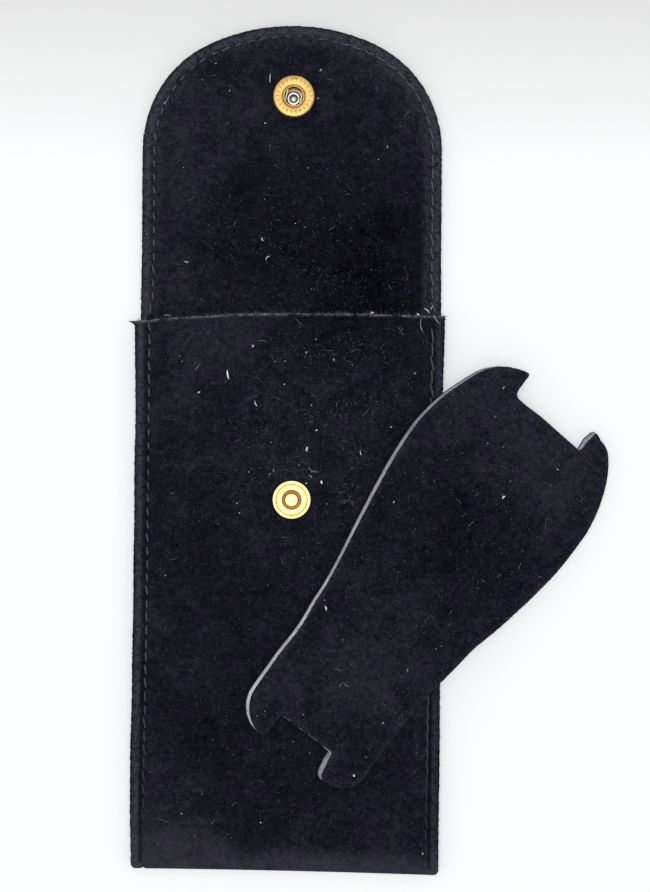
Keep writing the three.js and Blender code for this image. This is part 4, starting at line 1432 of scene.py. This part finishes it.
def board_flare(outline):
    """How much wider the board is cut at its underside, most where the edge looks left."""
    out = outward(outline)
    turned = out @ board_turn[:2, :2].T
    left = np.clip(-turned[:, 0], 0.0, 1.0) * np.clip(-1.3 * out[:, 0], 0.0, 1.0)
    aside, v = np.abs(outline[:, 0]), outline[:, 1]
    lower_wall = (v < -0.3) * (aside < LOWER_NOTCH["half"] + 1.2)
    upper_wall = between(v, NOTCH_SPAN - 1.5, NOTCH_SPAN + 4.0) * (aside < UPPER_NOTCH["half"] + 2.0)
    floor = (np.abs(v) < 1.5) * (aside < LOWER_NOTCH["half"])
    flare = EDGE_FLARE + EDGE_FLARE_LEFT * left * (1.0 - WAIST_FLARE_LOSS * at_waist(v))
    flare += (LOWER_WALL_FLARE * lower_wall + UPPER_WALL_FLARE * upper_wall) * left + FLOOR_FLARE * floor
    padded = np.concatenate([flare[-FLARE_SPREAD:], flare, flare[:FLARE_SPREAD]])
    width = 2 * FLARE_SPREAD + 1
    return np.convolve(padded, np.ones(width) / width, "valid")


def fringed_at(u, v):
    """Where the faces' pile hides the board's edge: at the lower notch and right of the upper one."""
    on_floor = between(v, 4.0, 0.0) * between(u, 7.6, 6.6) * between(u, -11.0, -10.0)
    on_horn = 0.45 * between(v, NOTCH_SPAN - 2.0, NOTCH_SPAN) * (u > 0.0)
    return on_floor + on_horn


def board_layer(outline, flare, low, high, name, node, profile, finish, slot, seed):
    """One layer of the board. profile is (out, share of the layer's height) down its edge."""
    rings = [(offset, low + (high - low) * share) for offset, share in profile]
    rings = roughened(rings, len(outline), seed, 0.035)
    rings = [(offset + flare * (1.0 - level / BOARD_THICKNESS), level) for offset, level in rings]
    slab = Slab(name, outline, rings, place_board, BOARD_LATTICE, BOARD_BAND)
    x, y, z = place_board(slab.flat, slab.level).T
    upper_face = (slab.level > (low + high) / 2) & (slab.to_edge > 0.4)
    marks = {
        "border": 0.22 * between(slab.to_edge, 1.6, 0.2),
        "rim": slab.on_rim * (z > PILE_CLEAR),
        "fringed": fringed_at(*slab.flat.T),
        "brushed": spots_at(x, y, BOARD_BRUSHED),
        "lint": (0.35 + 0.5 * density_of_lint(x + 30.0, y - 12.0)) * upper_face,
    }
    point_values(slab.mesh, marks)
    piece = new_piece(name, slab.mesh, finish, "cradle_board")
    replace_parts(piece, node)
    return piece


def make_board():
    nominal = board_outline(BOARD_STEP)
    outline = ragged(nominal, 53, 0.08, 0.035)
    flare = board_flare(outline)
    top = BOARD_THICKNESS - BOARD_VELVET
    underside = [(offset, 1.0 - share) for offset, share in VELVET_EDGE[::-1]]
    spans = ((top + LAYER_GAP, BOARD_THICKNESS), (BOARD_VELVET + LAYER_GAP, top), (0.0, BOARD_VELVET))
    layers = (
        ("board_face", "board_face_velvet", VELVET_EDGE, velvet, "velvet", 54),
        ("board_middle", "board_core", BOARD_EDGE, grey_board, "board", 55),
        ("board_back", "board_back_velvet", underside, velvet, "velvet", 56),
    )
    face, _, back = [board_layer(outline, flare, *span, *layer) for span, layer in zip(spans, layers)]
    return face, back


# Press stud

CRISP_ANGLE = 50.0  # where metal turns more than this its edge stays crisp
SHEET_METAL = 0.35
SEAT = 0.1  # between metal and cloth
STUD_HEIGHT = 2.6
STUD_RIM_HEIGHT = 0.85
STUD_DISH_RADIUS = 3.9
STUD_DISH_HEIGHT = 0.55
STUD_RECESS_RADIUS = 2.45
STUD_NECK_RADIUS = 1.5
STUD_BALL_RADIUS = 1.9
POST_RADIUS = 1.1
POST_FLANGE = 4.6
SOCKET_HEIGHT = 2.6
SOCKET_HOLE = 2.36
SOCKET_LIP = 2.8
RIVET_RADIUS = 1.45
RIVET_NUDGE = (-0.1, -0.35)
CAP_HEIGHT = 1.4
PIP_COUNT = 22
PIP_RING = 4.22
PIP_SIZE = {"Length": 0.52, "Width": 0.13, "Height": 0.06}
SPRING_WIRE = 0.22
SPRING_HALF_GAP = 1.95
SPRING_BOW = 4.4
SPRING_LEG_END = 2.7
SPRING_TURN = -14.0

under_cloth = -PANEL - SEAT  # where the metal on the cloth's other side begins
flange_bottom = under_cloth - SHEET_METAL
stud_place = Matrix.Translation((STUD_NUDGE[0], stud_y + STUD_NUDGE[1], front_top))
flap_place = Matrix.Translation((0.0, fold_y, fold_z)) @ Matrix.Rotation(flap_tilt, 4, "X")
snap_place = flap_place @ Matrix.Translation((SOCKET_NUDGE[0], SNAP_REACH + SOCKET_NUDGE[1], -fold_drop))


def eased(profile, radius, steps=4):
    """A profile with its corners rounded. The first and last points stay."""
    points = [np.array(p, float) for p in profile]
    made = [points[0]]
    for before, corner, after in zip(points, points[1:], points[2:]):
        back, on = before - corner, after - corner
        cut = min(radius, np.linalg.norm(back) / 2.1, np.linalg.norm(on) / 2.1)
        start = corner + back / np.linalg.norm(back) * cut
        end = corner + on / np.linalg.norm(on) * cut
        for t in np.linspace(0.0, 1.0, steps):
            made.append((1 - t) ** 2 * start + 2 * (1 - t) * t * corner + t**2 * end)
    made.append(points[-1])
    return made


def turned_mesh(name, profile, place, segments):
    """A piece turned on a lathe. Its profile runs up its outside and closes on itself or on the axis."""
    points, rings = [], []
    for radius, height in profile:
        around = segments if radius > 1e-6 else 1
        rings.append([len(points) + k % around for k in range(segments)])
        points += ring_points(np.array([0.0, 0.0, height]), *np.eye(3)[:2], radius, around)
    if profile[0][0] > 0:
        rings.append(rings[0])
    faces = []
    for a, b in zip(rings, rings[1:]):
        for k in range(segments):
            after = (k + 1) % segments
            corners = tuple(dict.fromkeys((a[k], a[after], b[after], b[k])))
            if len(corners) > 2:
                faces.append(corners)
    return mesh_of(name, [place @ Vector(p) for p in points], faces, CRISP_ANGLE)


def metal_piece(name, node, profile, place, finish, body, segments, recess=None):
    """A turned piece. recess is (inner radius, outer radius, height) of a band that takes the finish's
    recess colour: tarnish on brass, painted shade on nickel.
    """
    mesh = turned_mesh(name, profile, place, segments)
    if recess:
        back = place.inverted()
        local = np.array([back @ (v.co / MM) for v in mesh.vertices])
        out = np.hypot(local[:, 0], local[:, 1])
        point_values(mesh, {"recess": (out > recess[0]) & (out < recess[1]) & (local[:, 2] < recess[2])})
    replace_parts(new_piece(name, mesh, finish, body), node)


def make_stud():
    hollow = POST_RADIUS + SEAT
    seat_level = SEAT + SHEET_METAL
    body = eased([
        (hollow, SEAT),
        (stud_radius, SEAT),
        (stud_radius, STUD_RIM_HEIGHT),
        (STUD_DISH_RADIUS + 0.12, STUD_RIM_HEIGHT),
        (STUD_DISH_RADIUS, STUD_DISH_HEIGHT - 0.06),
        (STUD_DISH_RADIUS - 0.16, STUD_DISH_HEIGHT - 0.06),
        (STUD_DISH_RADIUS - 0.26, STUD_DISH_HEIGHT + 0.02),
        (STUD_RECESS_RADIUS + 0.12, STUD_DISH_HEIGHT + 0.05),
        (STUD_RECESS_RADIUS - 0.1, seat_level),
        (STUD_NECK_RADIUS + 0.12, seat_level),
        (STUD_NECK_RADIUS, seat_level + 0.5),
        (STUD_NECK_RADIUS + 0.05, 1.6),
        (STUD_BALL_RADIUS - 0.02, 1.9),
        (STUD_BALL_RADIUS, 2.1),
        (1.72, STUD_HEIGHT - 0.14),
        (1.55, STUD_HEIGHT - 0.03),
        (0.9, STUD_HEIGHT),
        (0.0, STUD_HEIGHT - 0.02),
        (0.0, STUD_HEIGHT - SHEET_METAL),
        (hollow, STUD_HEIGHT - SHEET_METAL),
    ], 0.16)
    recess = (STUD_NECK_RADIUS + 0.11, STUD_RECESS_RADIUS, STUD_HEIGHT - 0.05)
    metal_piece("stud", "stud_body", body, stud_place, gilt, "pouch", 96, recess)
    top = STUD_HEIGHT - SHEET_METAL - SEAT
    post = eased([
        (POST_RADIUS - SHEET_METAL, flange_bottom),
        (POST_FLANGE, flange_bottom),
        (POST_FLANGE, under_cloth),
        (POST_RADIUS, under_cloth),
        (POST_RADIUS, top),
        (POST_RADIUS - SHEET_METAL, top),
    ], 0.1)
    metal_piece("stud_eyelet", "stud_post", post, stud_place, silver, "pouch", 64)


def socket_profile():
    inside = socket_radius - SHEET_METAL
    under = SOCKET_HEIGHT - SHEET_METAL
    return eased([
        (SOCKET_HOLE, under),
        (inside, under),
        (inside, SEAT),
        (socket_radius, SEAT),
        (socket_radius, SOCKET_HEIGHT - 0.42),
        (socket_radius - 0.12, SOCKET_HEIGHT - 0.16),
        (socket_radius - 0.42, SOCKET_HEIGHT - 0.02),
        (4.2, SOCKET_HEIGHT + 0.02),
        (SOCKET_LIP + 0.42, SOCKET_HEIGHT),
        (SOCKET_LIP + 0.16, SOCKET_HEIGHT - 0.1),
        (SOCKET_LIP + 0.04, SOCKET_HEIGHT - 0.1),
        (SOCKET_LIP - 0.08, SOCKET_HEIGHT + 0.1),
        (SOCKET_LIP - 0.24, SOCKET_HEIGHT + 0.14),
        (SOCKET_HOLE + 0.1, SOCKET_HEIGHT + 0.1),
        (SOCKET_HOLE, SOCKET_HEIGHT - 0.05),
    ], 0.12)


def pip_tree():
    """A ring of small raised bars that point at the socket's middle."""
    numbers = {"Ring radius": PIP_RING * MM, "Count": float(PIP_COUNT)}
    numbers.update({label: size * MM for label, size in PIP_SIZE.items()})
    tree, given = new_tree("ring of pips", numbers)
    inputs = {"Resolution": given["Count"], "Radius": given["Ring radius"]}
    ring = add_node(tree, "GeometryNodeCurvePrimitiveCircle", inputs).outputs[0]
    points = add_node(tree, "GeometryNodeCurveToPoints", {"Curve": ring}, mode="EVALUATED").outputs
    inputs = {"Segments": 10, "Rings": 6, "Radius": 1.0}
    ball = add_node(tree, "GeometryNodeMeshUVSphere", inputs).outputs[0]
    size = three(tree, given["Length"], given["Width"], given["Height"])
    laid = laid_on(tree, points[0], ball, aligned(tree, "Y", points["Tangent"]), size)
    return end_tree(tree, laid, given["Finish"])


def make_pips():
    carrier = bpy.data.objects.new("pip_carrier", bpy.data.meshes.new("pip_carrier"))
    # The pips take the darkest copy of the gilt: painted shade for their relief.
    mesh = grown("socket_pips", carrier, pip_tree(), {"Finish": pip_shaded_gilt})
    bpy.data.objects.remove(carrier)
    lift = Matrix.Translation((0.0, 0.0, SOCKET_HEIGHT + 0.01))
    points = np.array([snap_place @ lift @ (v.co / MM) for v in mesh.vertices]) * MM
    mesh.vertices.foreach_set("co", points.astype(np.float32).ravel())
    mesh.update()
    new_piece("socket_pips", mesh, None, "flap")


def tube_mesh(name, line, radius, sides, place):
    """A round wire along a line that stays near one level, closed at both ends."""
    along = np.gradient(line, axis=0)
    along /= np.linalg.norm(along, axis=1)[:, None]
    side = np.cross([0.0, 0.0, 1.0], along)
    side /= np.linalg.norm(side, axis=1)[:, None]
    points = []
    for centre, across, above in zip(line, side, np.cross(along, side)):
        points += ring_points(centre, across, above, radius, sides)
    return mesh_of(name, [place @ Vector(p) for p in points], tube_faces(0, len(line), sides))


def spring_line():
    """One wire: a leg on the left of the hole, a bow round behind it and a leg on the right."""
    level = SOCKET_HEIGHT - SHEET_METAL - SPRING_WIRE - SEAT
    bow_end = math.acos(SPRING_HALF_GAP / SPRING_BOW)
    angles = np.linspace(bow_end - math.pi, bow_end, 40)
    levels = np.full(len(angles), level)
    bow = np.column_stack([SPRING_BOW * np.cos(angles), SPRING_BOW * np.sin(angles), levels])
    first = (-SPRING_HALF_GAP, SPRING_LEG_END, level)
    last = (SPRING_HALF_GAP, -SPRING_LEG_END, level)
    return evenly(np.vstack([[first], bow, [last]]), 0.25)


def make_socket():
    groove = (SOCKET_LIP, SOCKET_LIP + 0.2, SOCKET_HEIGHT + 0.2)
    cup = socket_profile()
    # The cup takes the darker copy of the gilt, which is painted shade.
    metal_piece("socket_cup", "socket_shell", cup, snap_place, shaded_gilt, "flap", 128, groove)
    off_middle = snap_place @ Matrix.Translation((RIVET_NUDGE[0], RIVET_NUDGE[1], 0.0))
    plate_radius = socket_radius - SHEET_METAL - SEAT - math.hypot(*RIVET_NUDGE)
    plate = eased([
        (RIVET_RADIUS + 0.2, SEAT),
        (plate_radius, SEAT),
        (plate_radius, SEAT + SHEET_METAL),
        (RIVET_RADIUS + 0.2, SEAT + SHEET_METAL),
    ], 0.08)
    metal_piece("socket_plate", "socket_base", plate, off_middle, bronze, "flap", 64)
    clench = 2 * SEAT + SHEET_METAL
    rivet = eased([
        (0.0, flange_bottom),
        (rivet_flange, flange_bottom),
        (rivet_flange, under_cloth),
        (RIVET_RADIUS, under_cloth),
        (RIVET_RADIUS, clench),
        (RIVET_RADIUS + 0.46, clench),
        (RIVET_RADIUS + 0.42, clench + 0.2),
        (RIVET_RADIUS + 0.05, clench + 0.36),
        (RIVET_RADIUS - 0.3, clench + 0.33),
        (RIVET_RADIUS - 0.5, clench + 0.12),
        (RIVET_RADIUS - 0.66, clench - 0.05),
        (0.45, clench + 0.12),
        (0.0, clench + 0.16),
    ], 0.14)
    # The band round the rivet's rolled groove is painted nearly black: painted shade.
    bore = (RIVET_RADIUS - 0.75, RIVET_RADIUS - 0.42, clench + 0.22)
    metal_piece("tubular_rivet", "cap_rivet", rivet, off_middle, silver, "flap", 64, bore)
    spring_place = snap_place @ Matrix.Rotation(math.radians(SPRING_TURN), 4, "Z")
    wire = tube_mesh("socket_wire", spring_line(), SPRING_WIRE, 12, spring_place)
    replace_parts(new_piece("socket_wire", wire, spring_brass, "flap"), "socket_spring")
    make_pips()


def dome(radius, height, rim, steps):
    """The profile of a flat dome that hangs below its rim, from its middle outwards."""
    shares = np.sin(np.linspace(0.0, math.pi / 2, steps + 1))
    return [(radius * share, rim - height * math.sqrt(max(0.0, 1.0 - share**4))) for share in shares]


def make_cap():
    outer = dome(cap_radius, CAP_HEIGHT - SEAT, under_cloth, 22)
    inner = dome(cap_radius - SHEET_METAL, CAP_HEIGHT - SEAT - SHEET_METAL, under_cloth, 16)[::-1]
    metal_piece("cap_dome", "snap_cap", outer + inner, snap_place, gilt, "flap", 128)


# Single bits of lint that catch the eye: x, y, length, turn, half their thickness, and how bright
LOOSE_LINT = [
    (-5.7, 133.1, 2.6, -93, 0.17, 2),
    (7.3, 135.3, 0.8, 43, 0.28, 1),
    (6.6, 128.0, 0.5, -63, 0.31, 1),
    (-6.9, 121.5, 0.5, -51, 0.28, 2),
    (7.0, 132.3, 1.0, -97, 0.15, 0),
    (8.6, 28.9, 0.5, 20, 0.44, 3),
    (4.7, 28.6, 0.3, 56, 0.24, 3),
    (6.4, 32.2, 3.1, -26, 0.17, 0),
    (-4.7, 30.9, 1.0, 39, 0.19, 1),
    (-3.5, 31.8, 1.2, -73, 0.26, 1),
    (5.7, 30.3, 0.9, -49, 0.19, 1),
    (-31.8, 71.5, 2.1, -8, 0.22, 1),
    (-36.1, 64.4, 0.6, -79, 0.36, 0),
    (-23.9, 60.1, 5.9, -93, 0.10, 1),
    (21.2, 72.8, 1.1, 16, 0.36, 3),
    (33.2, 72.4, 0.8, -9, 0.36, 3),
    (35.4, 73.5, 2.1, -42, 0.17, 2),
    (36.9, 74.3, 1.5, -123, 0.21, 1),
    (37.9, 71.0, 2.8, -53, 0.17, 1),
    (34.3, 69.5, 4.4, -82, 0.15, 1),
    (32.4, 57.1, 0.8, -29, 0.28, 1),
    (-15.6, 56.2, 2.6, -80, 0.20, 3),
    (-7.3, 91.6, 1.1, -76, 0.23, 2),
    (9.9, -2.9, 1.3, -80, 0.23, 2),
    (17.6, -45.4, 0.5, 25, 0.31, 3),
    (55.2, 53.5, 1.0, -115, 0.26, 1),
    (52.9, 46.1, 0.4, -75, 0.23, 1),
    (69.4, 32.8, 0.6, -34, 0.25, 1),
    (14.2, -22.4, 1.8, 59, 0.14, 0),
    (15.4, -22.2, 2.0, -37, 0.14, 0),
    (35.6, -66.9, 0.8, -80, 0.26, 1),
    (-26.5, -56.7, 0.6, -68, 0.25, 1),
    (55.4, 25.4, 1.1, 43, 0.28, 2),
    (27.0, 24.1, 0.5, 66, 0.22, 2),
    (30.9, -18.7, 0.9, 69, 0.15, 1),
    (-27.0, 85.6, 1.3, -11, 0.21, 2),
    (-5.9, 86.6, 1.9, 50, 0.14, 2),
    (22.5, 112.5, 0.4, -48, 0.22, 1),
    (24.9, 115.8, 0.9, -90, 0.20, 1),
    (-33.0, 126.6, 1.5, 33, 0.14, 1),
    (-9.3, 63.6, 0.8, 46, 0.25, 2),
    (4.4, 62.0, 0.7, 55, 0.20, 1),
    (11.3, 60.2, 0.8, -79, 0.20, 1),
    (-1.1, 53.8, 0.5, 50, 0.15, 2),
    (-23.0, 51.5, 0.7, 35, 0.20, 2),
    (-8.3, 48.9, 1.7, -67, 0.15, 2),
    (26.3, 43.2, 0.4, 90, 0.18, 2),
    (7.2, 42.2, 0.7, 24, 0.16, 2),
    (4.9, 37.3, 1.4, 81, 0.32, 2),
    (18.6, 36.5, 1.4, -83, 0.12, 2),
    (14.7, 28.5, 0.4, 90, 0.17, 1),
]
LINT_TONES = (("faint", pale_lint), ("pale", thread_lint), ("white", white_lint), ("bright", bright_lint))
LOOSE_STEPS = 5
LOOSE_SIDES = 6
# Threads that stick out at the corners of the mouth: from, to and half their thickness
CORNER_THREADS = [
    ((-38.2, 70.3, 2.4), (-41.9, 70.0, 2.5), 0.26),
    ((-38.2, 69.9, 2.3), (-41.3, 69.8, 2.4), 0.26),
    ((-38.2, 69.4, 2.4), (-40.9, 69.5, 2.5), 0.24),
    ((-38.2, 68.9, 2.3), (-40.5, 69.1, 2.4), 0.22),
    ((39.2, 71.2, 2.3), (40.6, 72.0, 2.5), 0.16),
    ((39.2, 70.8, 2.2), (40.6, 71.2, 2.4), 0.14),
]


def bent_thread(start, end, bow, radius):
    """A thread from start to end that tapers to both sides."""
    start, end = np.array(start, float), np.array(end, float)
    shares = np.linspace(0.0, 1.0, LOOSE_STEPS)
    aside = np.array([start[1] - end[1], end[0] - start[0], 0.0])
    line = start + shares[:, None] * (end - start) + np.sin(math.pi * shares)[:, None] * bow * aside
    thickness = radius * np.sqrt(np.clip(1.02 - (2.0 * shares - 1.0) ** 2, 0.0, 1.0))
    return line, thickness


def joined_threads(name, threads):
    """One mesh of many threads, each given as its line and its thickness along it."""
    points, faces = [], []
    for line, thickness in threads:
        along = (line[-1] - line[0]) / np.linalg.norm(line[-1] - line[0])
        side = np.cross([0.0, 0.0, 1.0], along)
        side /= np.linalg.norm(side)
        above = np.cross(along, side)
        faces += tube_faces(len(points), len(line), LOOSE_SIDES)
        for centre, radius in zip(line, thickness):
            points += ring_points(centre, side, above, radius, LOOSE_SIDES)
    return mesh_of(name, points, faces)


def surface_under(carrier, x, y):
    """How high the carrier's face is at this place, or None beside it."""
    hit, where, _, _ = carrier.ray_cast(Vector((x * MM, y * MM, 0.1)), Vector((0.0, 0.0, -1.0)))
    return where[2] / MM if hit else None


def make_loose_lint(cloth, board):
    """The single bits of lint, each laid on whichever face is uppermost at its place."""
    rng = np.random.default_rng(81)
    laid = {}
    for x, y, length, turn, radius, bright in LOOSE_LINT:
        bow = rng.uniform(-0.22, 0.22)
        on_board = surface_under(board, x, y)
        level = surface_under(cloth, x, y) if on_board is None else on_board
        reach = np.array([math.cos(math.radians(turn)), math.sin(math.radians(turn)), 0.0]) * length / 2
        middle = np.array([x, y, level + 0.6 * radius])
        which = ("cloth" if on_board is None else "board", bright)
        laid.setdefault(which, []).append(bent_thread(middle - reach, middle + reach, bow, radius))
    for (carrier, bright), threads in laid.items():
        tone, finish = LINT_TONES[bright]
        name = f"{carrier}_loose_lint_{tone}"
        piece = new_piece(name, joined_threads(name, threads), finish)
        if carrier == "cloth":
            across_fold(piece)
        else:
            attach(piece, "cradle_board")


def make_corner_threads():
    """The frayed threads at both corners of the mouth."""
    threads = [bent_thread(start, end, 0.1, radius) for start, end, radius in CORNER_THREADS]
    piece = new_piece("corner_threads", joined_threads("corner_threads", threads), pile_ends)
    across_fold(piece)


cloth = make_cloth()
cloth_fibres = pile_and_lint(cloth, "cloth", 61)
mouth_fuzz = grow_fibres("mouth_fuzz", cloth, MOUTH_FUZZ, 65)
for fuzzy in [*cloth_fibres, mouth_fuzz]:
    across_fold(fuzzy)
make_stitches()
board_face, board_back = make_board()
board_fibres = pile_and_lint(board_face, "board", 71)
back_pile = grow_fibres("board_back_pile", board_back, BACK_PILE, 75)
for fuzzy in [*board_fibres, back_pile]:
    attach(fuzzy, "cradle_board")
make_loose_lint(cloth, board_face)
make_corner_threads()
make_stud()
make_socket()
make_cap()
